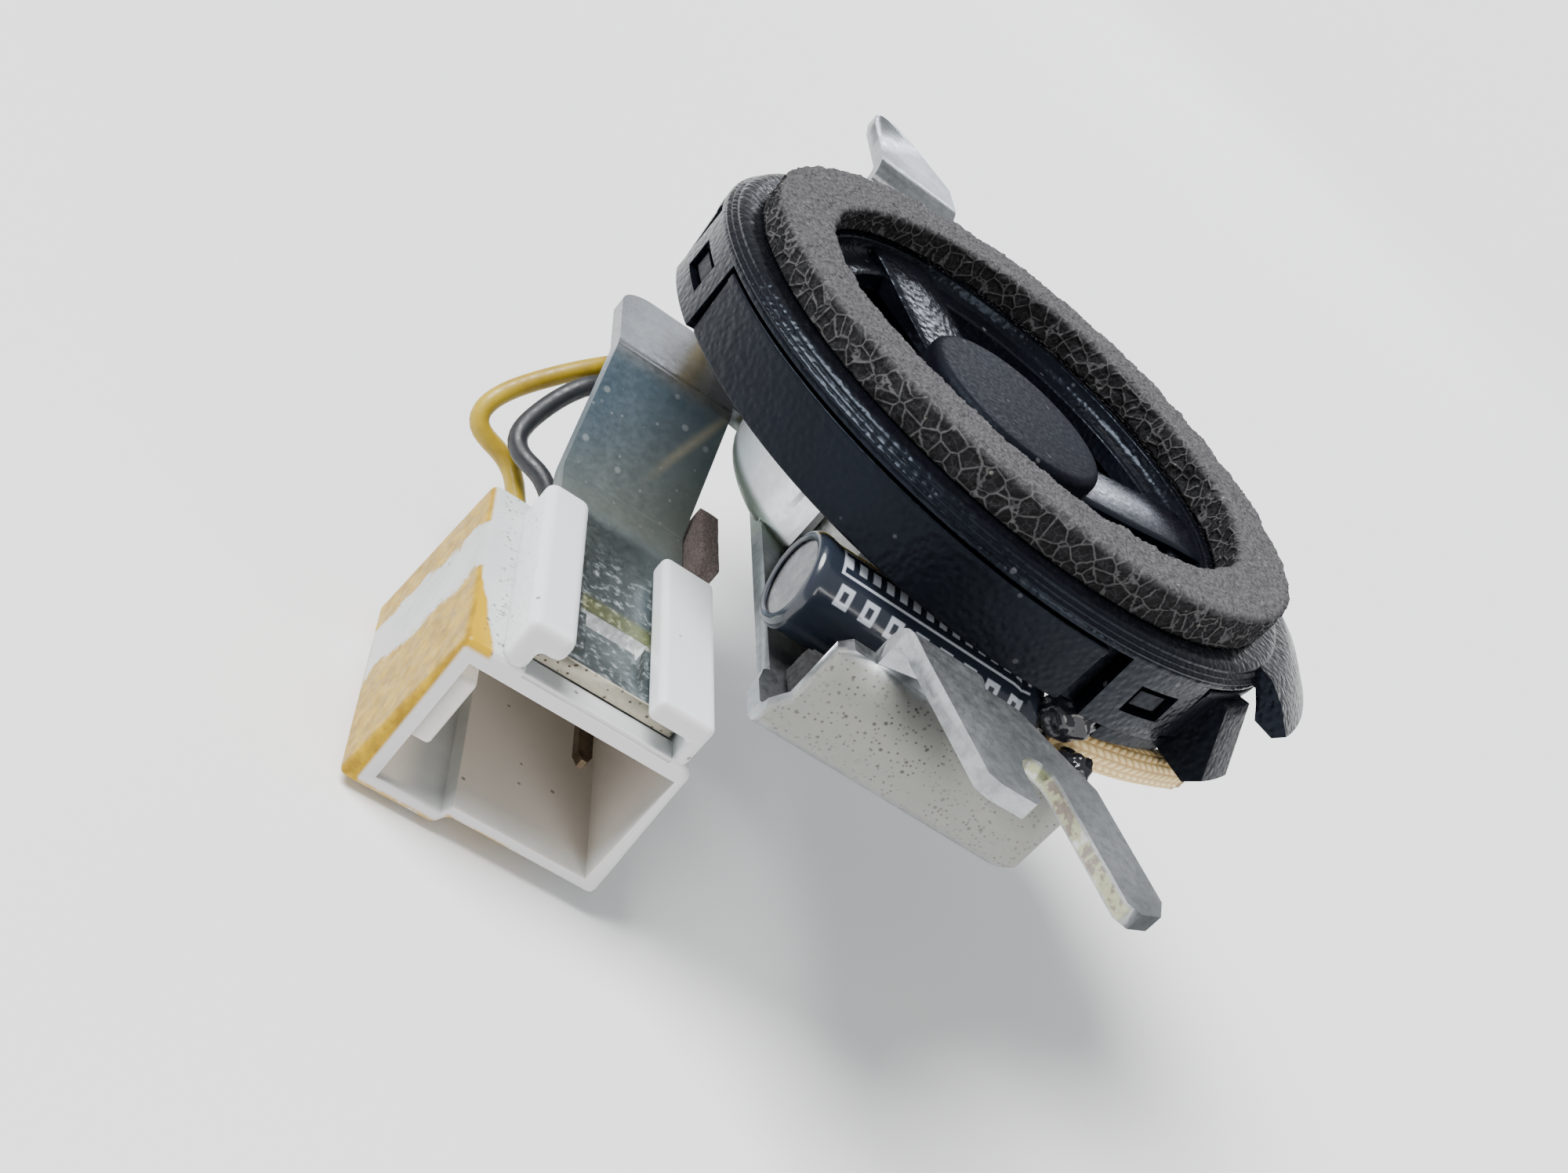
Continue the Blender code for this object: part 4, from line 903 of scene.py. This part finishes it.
def bracket(material):
    """Folded blank: base, two flanges with ears, pot collar, arm, riser and tongue."""
    near = NEAR_FLANGE + HALF
    far = FAR_FLANGE + HALF
    spine = [(-48.0, NEAR_EAR_TOP - HALF), (near, NEAR_EAR_TOP - HALF), (near, HALF), (far, HALF),
             (far, FAR_EAR_TOP - HALF), (47.0, FAR_EAR_TOP - HALF)]
    blank = make_piece("bracket_sheet", prism(folded_outline(spine, 0.8), -24.0, 11.8, "X"), material)
    left_end, right_end = -25.0, 12.8
    near_left = [(left_end, -34.0), (-12.7, -34.0), (-12.7, -27.0), (-12.3, -25.6), (-11.8, -25.2),
                 (-11.8, 5.0), (-12.6, 6.2), (-14.0, 6.6), (left_end, 6.6)]
    corner = arc((-21.2, 12.4), 2.8, 180.0, 90.0, 9)
    far_left = [(left_end, 12.4)] + corner + [(-12.8, 15.2), (-11.8, 16.2), (-11.8, 36.0), (left_end, 36.0)]
    right = [(6.5, -34.0), (right_end, -34.0), (right_end, 36.0), (6.5, 36.0), (6.5, 28.0),
             (11.8, 21.0), (11.8, -21.0), (6.5, -28.0)]
    for outline in (near_left, far_left, right):
        cut(blank, prism(outline, -1.0, 2.05))
    near_flange_left = [(left_end, 2.0), (-12.7, 2.0), (-11.95, 3.1), (-11.95, 7.4), (-11.3, 8.1),
                        (-9.75, 8.1), (-9.75, 13.0), (left_end, 13.0)]
    near_flange_right = [(4.3, -0.5), (5.6, 0.25), (6.5, 1.5), (6.5, 5.8), (4.5, 6.6), (4.5, 7.5),
                         (-4.6, 7.5), (-4.6, 13.0), (right_end, 13.0), (right_end, -0.5)]
    for outline in (near_flange_left, near_flange_right):
        cut(blank, prism(outline, -32.6, -28.95, "Y"))
    far_flange_left = [(left_end, 2.0), (-11.8, 2.0), (-11.8, 7.5), (-9.6, 9.5), (-9.6, 18.0),
                       (left_end, 18.0)]
    far_flange_right = [(6.5, -0.5), (6.5, 7.5), (-1.6, 13.0), (-1.6, 18.0), (right_end, 18.0),
                        (right_end, -0.5)]
    for outline in (far_flange_left, far_flange_right):
        cut(blank, prism(outline, 29.4, 34.0, "Y"))
    edge_left, slot_left, slot_right, edge_right = -20.8, -17.2, -14.2, -10.6
    middle = fork_point(35.0, (slot_left + slot_right) / 2)
    root = [tuple(point) for point in arc(middle, 1.5, FORK_AXIS - 90.0, FORK_AXIS - 270.0, 8)]
    ear = [(left_end, NEAR_FLANGE), (-9.75, NEAR_FLANGE), fork_point(27.4, edge_left),
           fork_point(36.0, edge_left), fork_point(36.6, edge_left + 0.7),
           fork_point(37.4, slot_left - 0.6), fork_point(37.0, slot_left)]
    ear += root
    ear += [fork_point(43.2, slot_right), fork_point(43.8, slot_right + 0.8),
            fork_point(43.6, edge_right - 1.0), fork_point(42.4, edge_right),
            fork_point(34.5, edge_right), (-4.6, NEAR_FLANGE - 0.1), (-4.6, NEAR_FLANGE),
            (right_end, NEAR_FLANGE), (right_end, -49.0), (left_end, -49.0)]
    cut(blank, prism(ear, NEAR_EAR_TOP - 3.0, NEAR_EAR_TOP + 1.0))
    outer_face = FAR_FLANGE + SHEET
    ear = [(left_end, outer_face), (-9.6, outer_face), (-9.6, 41.0), (-9.1, 44.4), (-8.3, 45.4),
           (-7.0, 45.6), (-5.6, 44.3), (-3.9, 41.7), (-1.6, 37.8), (-1.6, outer_face),
           (right_end, outer_face), (right_end, 48.0), (left_end, 48.0)]
    cut(blank, prism(ear, FAR_EAR_TOP - 3.0, FAR_EAR_TOP + 1.0))
    fold = arc((12.2, 2.0), 2.0, -90.0, 0.0, 8)
    inner_fold = arc((12.2, 2.0), 0.8, 0.0, -90.0, 8)
    collar = [(10.5, 0.0)] + fold + [(14.2, 9.0), (13.0, 9.0)] + inner_fold + [(10.5, SHEET)]
    for start in (135.0, -45.0):
        add(blank, turned(collar, 40, start, 90.0))
    arm = [(9.0, HALF), (5.6, HALF), (-3.9, TONGUE_TOP - HALF), (-26.0, TONGUE_TOP - HALF)]
    add(blank, prism(folded_outline(arm, 1.4), -24.0, -14.0, "X"))
    cut(blank, box((-21.2, -25.0, -7.0), (-16.8, -20.0, -4.0)))
    lance = [(-25.3, TONGUE_TOP), (-20.3, TONGUE_TOP - 0.7), (-20.3, TONGUE_TOP - 1.6),
             (-25.3, TONGUE_TOP - SHEET)]
    add(blank, prism(lance, -20.9, -17.1, "X"))
    round_edges(blank, 0.22, 3, 40.0)
    return blank


# ---- connector ----

def connector(material):
    """Socket shroud with hooked rails, a sill at the front, a key block and rounded edges."""
    section = [(-29.2, -18.7), (-28.3, -5.8), (-12.7, -5.8), (-11.9, -6.5),
               (-11.4, -17.7), (-22.0, -17.7), (-22.5, -18.7)]
    shell = make_piece("socket_shell", prism(section, CONN_FRONT, CONN_REAR, "Y"), material)
    cavity = [(-27.2, -17.5), (-22.6, -17.5), (-22.2, -16.7), (-12.6, -16.7), (-12.6, -7.3), (-27.2, -7.3)]
    bake_rounding(shell, 0.6)
    cut(shell, prism(cavity, CONN_FRONT - 1.0, -12.2, "Y"))
    cut(shell, box((-24.3, CONN_FRONT - 1.0, POCKET_FLOOR), (-13.7, CONN_REAR + 1.0, -5.0)))
    left_rail = [(-26.0, -6.3), (-26.0, -2.5), (-22.8, -2.5), (-22.8, TONGUE_TOP + 0.3),
                 (-24.3, TONGUE_TOP + 0.3), (-24.3, -6.3)]
    right_rail = [(-13.7, -6.3), (-13.7, TONGUE_TOP + 0.3), (-16.8, TONGUE_TOP + 0.3),
                  (-16.8, -2.8), (-12.7, -2.8), (-12.7, -6.3)]
    for outline in (left_rail, right_rail):
        add_rounded(shell, prism(outline, CONN_FRONT, -11.5, "Y"), 0.7)
    add(shell, box((-24.4, CONN_FRONT + 0.12, POCKET_FLOOR - 0.3), (-13.6, -26.15, -6.05)))
    cut(shell, box((-21.5, -25.6, -6.8), (-16.5, CONN_REAR + 1.0, POCKET_FLOOR + 0.5)))
    add_rounded(shell, box((-28.0, CONN_FRONT + 0.4, -14.0), (-25.8, -11.7, -8.6)), 0.35)
    for x in PIN_XS:
        outline = arc((x, PIN_Z), 1.0, 0.0, 330.0, 11)
        cut(shell, prism(outline, -14.0, CONN_REAR + 1.0, "Y"))
    round_edges(shell, 0.14, 3, 50.0)
    return shell


# ---- capacitor and wiring ----

def along_x(name, profile, segments, material, sharp=40.0):
    """Turned piece whose axis is the capacitor's, with heights read as X positions."""
    piece = make_piece(name, turned(profile, segments), material, sharp)
    lie = Matrix.Rotation(math.radians(90.0), 4, "Y")
    piece.data.transform(Matrix.Translation(Vector((0.0, CAP_CENTRE[1], CAP_CENTRE[2])) * MM) @ lie)
    return piece


def capacitor(sleeve_material, can_material):
    lip = 2.62
    sleeve = [(lip, CAP_LEFT + 0.1), (lip, CAP_LEFT), (lip + 0.2, CAP_LEFT - 0.1), (2.95, CAP_LEFT - 0.1),
              (3.18, CAP_LEFT + 0.04), (3.34, CAP_LEFT + 0.35), (3.36, CAP_LEFT + 0.75),
              (CAP_R, CAP_LEFT + 1.4),
              (CAP_R, 2.2), (3.16, 2.7), (3.05, 3.0), (3.16, 3.3), (CAP_R, 3.7), (CAP_R, CAP_RIGHT - 0.6),
              (3.1, CAP_RIGHT - 0.15), (2.8, CAP_RIGHT), (lip, CAP_RIGHT), (lip, CAP_RIGHT - 0.1),
              (3.02, CAP_RIGHT - 0.14), (3.02, CAP_LEFT + 0.16)]
    wrap = along_x("capacitor_wrap", sleeve, 96, sleeve_material)
    shell = [(0.0, CAP_LEFT + 0.32), (2.1, CAP_LEFT + 0.30), (2.45, CAP_LEFT + 0.22),
             (2.8, CAP_LEFT + 0.26), (2.98, CAP_LEFT + 0.5), (2.98, CAP_RIGHT - 0.5),
             (2.7, CAP_RIGHT - 0.25), (0.0, CAP_RIGHT - 0.3)]
    can = along_x("capacitor_shell", shell, 64, can_material)
    return wrap, can


SLEEVE_ROUTE = ((6.6, -21.7, 5.9), (9.4, -21.2, 6.1), (13.4, -19.8, 6.2), (16.6, -18.1, 6.2),
                (19.4, -16.4, 6.2))
YELLOW_ROUTE = ((-22.3, -10.6, -12.1), (-22.4, -8.0, -12.1), (-22.8, -4.5, -12.1),
                (-23.5, -0.4, -11.9), (-24.6, 2.9, -11.1), (-26.2, 4.0, -10.6),
                (-27.7, 4.1, -10.4), (-28.8, 4.5, -9.8), (-28.8, 5.3, -8.7), (-27.9, 6.4, -7.4),
                (-26.4, 7.6, -6.0), (-24.5, 8.8, -4.4), (-22.8, 10.0, -3.3), (-19.6, 12.8, -1.9),
                (-16.9, 16.0, -1.2), (-15.5, 18.0, 1.2), (-15.0, 17.2, 4.6), (-15.8, 13.2, 7.3),
                (-17.0, 7.4, 8.1), (-17.8, 0.6, 8.1), (-16.9, -5.8, 8.1), (-13.5, -11.7, 8.1),
                (-8.2, -15.5, 8.1), (-3.0, -17.0, 8.1), (3.0, -17.0, 8.1), (8.8, -15.2, 8.1),
                (13.2, -11.0, 7.9), (16.2, -7.0, 7.0), (18.4, -4.2, 6.2))
BLACK_ROUTE = ((-16.3, -10.6, -12.1), (-16.4, -8.2, -12.1), (-17.6, -6.0, -11.8),
               (-20.6, -2.8, -10.2), (-23.5, 0.2, -8.7), (-24.8, 1.2, -8.9), (-25.9, 2.2, -8.8),
               (-26.2, 3.1, -8.3), (-25.8, 4.2, -7.3), (-25.1, 5.2, -5.8), (-24.2, 6.2, -4.6),
               (-22.9, 7.4, -3.6), (-20.6, 9.6, -3.5), (-17.4, 13.4, -3.4), (-14.7, 17.2, -2.2),
               (-13.4, 18.8, 0.8), (-12.9, 18.0, 4.0), (-13.3, 14.0, 6.9), (-14.5, 8.8, 8.0),
               (-15.7, 3.6, 8.1), (-15.8, -1.2, 8.1), (-14.9, -5.8, 8.1), (-11.8, -10.6, 8.1),
               (-7.4, -13.9, 8.1), (-2.6, -15.2, 8.1), (0.6, -15.2, 7.7), (3.0, -15.2, 6.7),
               (5.0, -15.7, 5.0), (6.8, -17.1, 3.5), (8.3, -19.0, 2.8), (9.3, -21.0, 3.2))


def wire(name, points, material):
    route = relaxed(smooth_route(points, 0.45), 6)
    return make_piece(name, tube(route, lambda along, angle: 0.73, 20), material, 60.0)


def braided_sleeve(material):
    """Braid of fine slanted stitches in rows along the sleeve, with its bore open at the ends."""
    route = smooth_route(SLEEVE_ROUTE, 0.08)
    sides = 112
    rows = 14

    def stitch(along, angle):
        turn = angle * rows / (2 * math.pi)
        across = turn - math.floor(turn)
        lean = across if int(math.floor(turn)) % 2 else 1.0 - across
        wave = 0.5 + 0.5 * math.cos(2 * math.pi * (along / 0.72 + 0.7 * lean))
        return math.sin(math.pi * across) ** 0.6 * wave ** 0.5

    shape = tube(route, lambda along, angle: 1.22 + 0.08 * stitch(along, angle), sides, 0.5)
    gap_layer = shape.verts.layers.float.new("gap")
    end_layer = shape.verts.layers.float.new("end")
    shape.verts.index_update()
    travelled = [0.0]
    for first, second in zip(route, route[1:]):
        travelled.append(travelled[-1] + (second - first).length)
    for vertex in shape.verts:
        row, column = divmod(vertex.index, sides)
        if row < len(route):
            vertex[gap_layer] = 1.0 - stitch(travelled[row], 2 * math.pi * column / sides)
            vertex[end_layer] = max(0.0, 1.0 - (travelled[-1] - travelled[row]) / 0.7)
        else:
            vertex[gap_layer] = 0.4
            vertex[end_layer] = 1.0
    return make_piece("braid", shape, material, 60.0)


def glue_bead(name, node, material, stretch):
    """Lumpy bead of adhesive round its node's middle, drawn out by a stretch on each axis."""
    shape = bmesh.new()
    bmesh.ops.create_icosphere(shape, subdivisions=4, radius=1.0)
    low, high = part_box(node)
    middle = (Vector(low) + Vector(high)) / 2
    half = (Vector(high) - Vector(low)) / 2
    for vertex in shape.verts:
        swell = 1.0 + 0.30 * noise.noise(vertex.co * 1.9)
        reach = [c * h * swell * s for c, h, s in zip(vertex.co, half, stretch)]
        vertex.co = middle + Vector(reach)
    return make_piece(name, shape, material, 180.0)


def soft_block(name, node, material, lump=0.25):
    """Foam or felt block with rounded, uneven faces, in its node's box."""
    low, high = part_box(node)
    low, high = Vector(low) / MM, Vector(high) / MM
    shape = box(low, high)
    bmesh.ops.subdivide_edges(shape, edges=shape.edges[:], cuts=14, use_grid_fill=True)
    middle = (low + high) / 2
    half = (high - low) / 2
    for vertex in shape.verts:
        place = vertex.co / MM - middle
        share = Vector([p / h for p, h in zip(place, half)])
        near_edge = sorted(abs(c) for c in share)[1]
        pull = 1.0 - 0.10 * near_edge ** 6
        at = place + middle
        rough = lump * (0.3 * noise.noise(at * 1.3) + 0.15 * noise.noise(at * 4.0))
        vertex.co = (middle + place * pull - place.normalized() * abs(rough)) * MM
    return make_piece(name, shape, material, 180.0)


# ---- stage ----

def camera():
    right = Vector((0.78773446, -0.03904328, 0.61477642))
    up = Vector((-0.50400505, 0.53297142, 0.67964724))
    toward = right.cross(up)
    data = bpy.data.cameras.new("camera")
    data.lens = 44.334
    data.sensor_width = 36.0
    data.clip_start = 0.002
    item = bpy.data.objects.new("camera", data)
    bpy.context.collection.objects.link(item)
    matrix = Matrix((right, up, toward)).transposed().to_4x4()
    matrix.translation = Vector((-54.541, -120.249, 51.306)) * MM
    item.matrix_world = matrix
    bpy.context.scene.camera = item
    return item


def area_light(name, place, target, size, power, colour=(1.0, 1.0, 1.0)):
    data = bpy.data.lights.new(name, "AREA")
    data.shape = "DISK"
    data.size = size
    data.energy = power
    data.color = colour
    item = bpy.data.objects.new(name, data)
    bpy.context.collection.objects.link(item)
    item.location = place
    item.rotation_euler = (Vector(target) - Vector(place)).to_track_quat("-Z", "Y").to_euler()
    return item


def stage(low):
    """Pale floor that sweeps up behind, pale surroundings and soft lights."""
    shape = bmesh.new()
    bmesh.ops.create_grid(shape, x_segments=90, y_segments=90, size=3.2)
    away = Vector((0.41, 0.91))
    for vertex in shape.verts:
        far = max(0.0, vertex.co.xy.dot(away) - 0.7)
        vertex.co.z = low - 0.0005 + 0.06 * far ** 2
    s = Shader("floor", (0.9, 0.9, 0.9), 0.8)
    s.set("Specular IOR Level", 0.1)
    s.colour(s.mix(s.noise(30.0, 3.0), (0.895, 0.895, 0.90), (0.91, 0.91, 0.91)))
    floor = make_piece("floor", shape, s.material, 180.0)
    world = bpy.data.worlds.new("studio")
    world.use_nodes = True
    background = world.node_tree.nodes["Background"]
    background.inputs["Color"].default_value = (0.94, 0.965, 1.0, 1.0)
    background.inputs["Strength"].default_value = 0.55
    bpy.context.scene.world = world
    data = bpy.data.lights.new("key", "SUN")
    data.energy = 7.0
    data.angle = math.radians(35.0)
    key = bpy.data.objects.new("key", data)
    bpy.context.collection.objects.link(key)
    key.rotation_euler = Vector((-0.35, 0.05, 0.55)).to_track_quat("Z", "Y").to_euler()
    area_light("fill", (0.25, -0.55, 0.20), (0.0, -0.02, 0.0), 0.35, 1.6, (1.0, 0.98, 0.95))
    area_light("back", (0.24, 0.68, 0.34), (0.012, 0.0, 0.015), 0.14, 0.8, (0.86, 0.90, 1.0))


def node_material(node, material):
    """Give a frame node a detailed material."""
    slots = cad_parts[node].material_slots
    for slot in slots:
        slot.material = material


def show(piece, body, slot, *nodes):
    """A piece rides on a body and stands for the nodes given; its slot is not used."""
    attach(piece, body)
    if nodes:
        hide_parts(*nodes)


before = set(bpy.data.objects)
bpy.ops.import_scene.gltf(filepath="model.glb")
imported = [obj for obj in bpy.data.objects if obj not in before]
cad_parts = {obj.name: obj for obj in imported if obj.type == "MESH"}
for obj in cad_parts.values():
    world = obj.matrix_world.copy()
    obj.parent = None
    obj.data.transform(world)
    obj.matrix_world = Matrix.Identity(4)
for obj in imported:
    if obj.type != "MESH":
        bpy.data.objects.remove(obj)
cad_box = [list(map(float, corner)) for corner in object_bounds()]
camera()
stage(cad_box[0][2])

black = black_plastic("grained_black", 0.40, 0.6)
smooth_black = black_plastic("smooth_black", 0.22, 0.55, (0.0018, 0.0021, 0.0034), 0.18)
spoke_black = black_plastic("spoke_black", 0.20, 0.06, (0.002, 0.0024, 0.004), 0.3)
button_black = black_plastic("button_black", 0.5, 0.35, (0.003, 0.0034, 0.0055), 0.07)
zinc = zinc_material()
nylon = nylon_material()
film = film_material()
steel = metal("turned_steel", (0.35, 0.35, 0.34), (0.58, 0.58, 0.56), 0.34, 3.0, True)
ferrite = metal("ferrite", (0.05, 0.05, 0.055), (0.11, 0.11, 0.115), 0.5)
copper = metal("enamelled_copper", (0.45, 0.17, 0.07), (0.75, 0.36, 0.17), 0.3, 1.0)
brass = metal("dull_brass", (0.05, 0.036, 0.022), (0.16, 0.12, 0.08), 0.45, 1.5)
tin = metal("tinned", (0.42, 0.43, 0.45), (0.68, 0.69, 0.71), 0.3, 0.8)
aluminium = metal("dull_aluminium", (0.26, 0.26, 0.27), (0.40, 0.40, 0.41), 0.5, 1.5)
felt = plain("brown_felt", (0.06, 0.046, 0.042), (0.27, 0.215, 0.195), 0.95,
             (0.25, 6.0, 0.75), (0.25, 6.0, 0.75), 0.2, 0.9, (0.25, 0.75))
foam_block = plain("foam_block", (0.003, 0.003, 0.0035), (0.02, 0.02, 0.021), 0.95,
                   (0.3, 5.0, 0.7), (0.6,), 0.25, 0.8, (0.3, 0.7))
rubber = plain("dark_rubber", (0.012, 0.012, 0.013), (0.04, 0.04, 0.042), 0.7,
               (1.0, 4.0), (0.4, 4.0), 0.04, 0.5)
glue = plain("black_adhesive", (0.006, 0.006, 0.008), (0.02, 0.02, 0.026), 0.12,
             (0.8, 3.0), (1.1, 2.0), 0.15, 0.5)

cap, spokes, button = front_cap(smooth_black, spoke_black, button_black)
show(cap, FRAME_BODY, "black_plastic", "front_cap")
for piece in (spokes, button):
    show(piece, FRAME_BODY, "black_plastic")
show(rear_housing(black), FRAME_BODY, "black_plastic", "rear_housing")
ring = foam_gasket(foam_material())
show(ring, FRAME_BODY, "foam", "foam_gasket")
dome, roll = moving_parts(film)
show(dome, CONE_BODY, "film", "dome_diaphragm")
show(roll, CONE_BODY, "film", "surround")
show(bracket(zinc), FRAME_BODY, "zinc_plate", "mounting_bracket")
show(connector(nylon), PLUG_BODY, "nylon", "connector_housing")
wrap, can = capacitor(shrink_material(), aluminium)
show(wrap, FRAME_BODY, "shrink_sleeve", "capacitor_sleeve")
show(can, FRAME_BODY, "aluminium", "capacitor_can")
show(braided_sleeve(braid_material()), FRAME_BODY, "braid", "braided_sleeve")
# Bead 1 is drawn out past its lump to fill the gap under the housing's wall: partly real adhesive, partly a
# dark filler standing in for the shade there.
for node, stretch in (("glue_bead_1", (2.1, 1.1, 1.6)), ("glue_bead_2", (1.05, 1.0, 1.0))):
    blob = glue_bead("adhesive_" + node[-1], node, glue, stretch)
    show(blob, FRAME_BODY, "shrink_sleeve", node)
pad = soft_block("foam_strip", "foam_pad", foam_block)
show(pad, FRAME_BODY, "foam", "foam_pad")
pad = soft_block("felt_strip", "edge_pad", felt)
show(pad, FRAME_BODY, "felt", "edge_pad")

leads = (("yellow_lead", YELLOW_ROUTE, "yellow_insulation", "wire_yellow",
          soft_plastic("yellow_pvc", (0.27, 0.17, 0.006), (0.42, 0.29, 0.012), 0.42)),
         ("black_lead", BLACK_ROUTE, "black_insulation", "wire_black",
          soft_plastic("black_pvc", (0.008, 0.009, 0.011), (0.02, 0.022, 0.026), 0.45)))
for name, points, slot, node, material in leads:
    lead = wire(name, points, material)
    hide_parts(node)
    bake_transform(lead)

for node, material in (("yoke_cup", steel), ("magnet", ferrite), ("pole_plate", steel),
                       ("damping_pad", felt), ("retainer_ring", smooth_black),
                       ("voice_coil_former", aluminium), ("voice_coil", copper),
                       ("coil_lead_1", copper), ("coil_lead_2", copper),
                       ("terminal_tag_1", brass), ("terminal_tag_2", brass),
                       ("solder_joint_1", tin), ("solder_joint_2", tin),
                       ("capacitor_bung", rubber), ("capacitor_lead_1", tin),
                       ("capacitor_lead_2", tin), ("connector_pin_1", brass),
                       ("connector_pin_2", brass)):
    node_material(node, material)
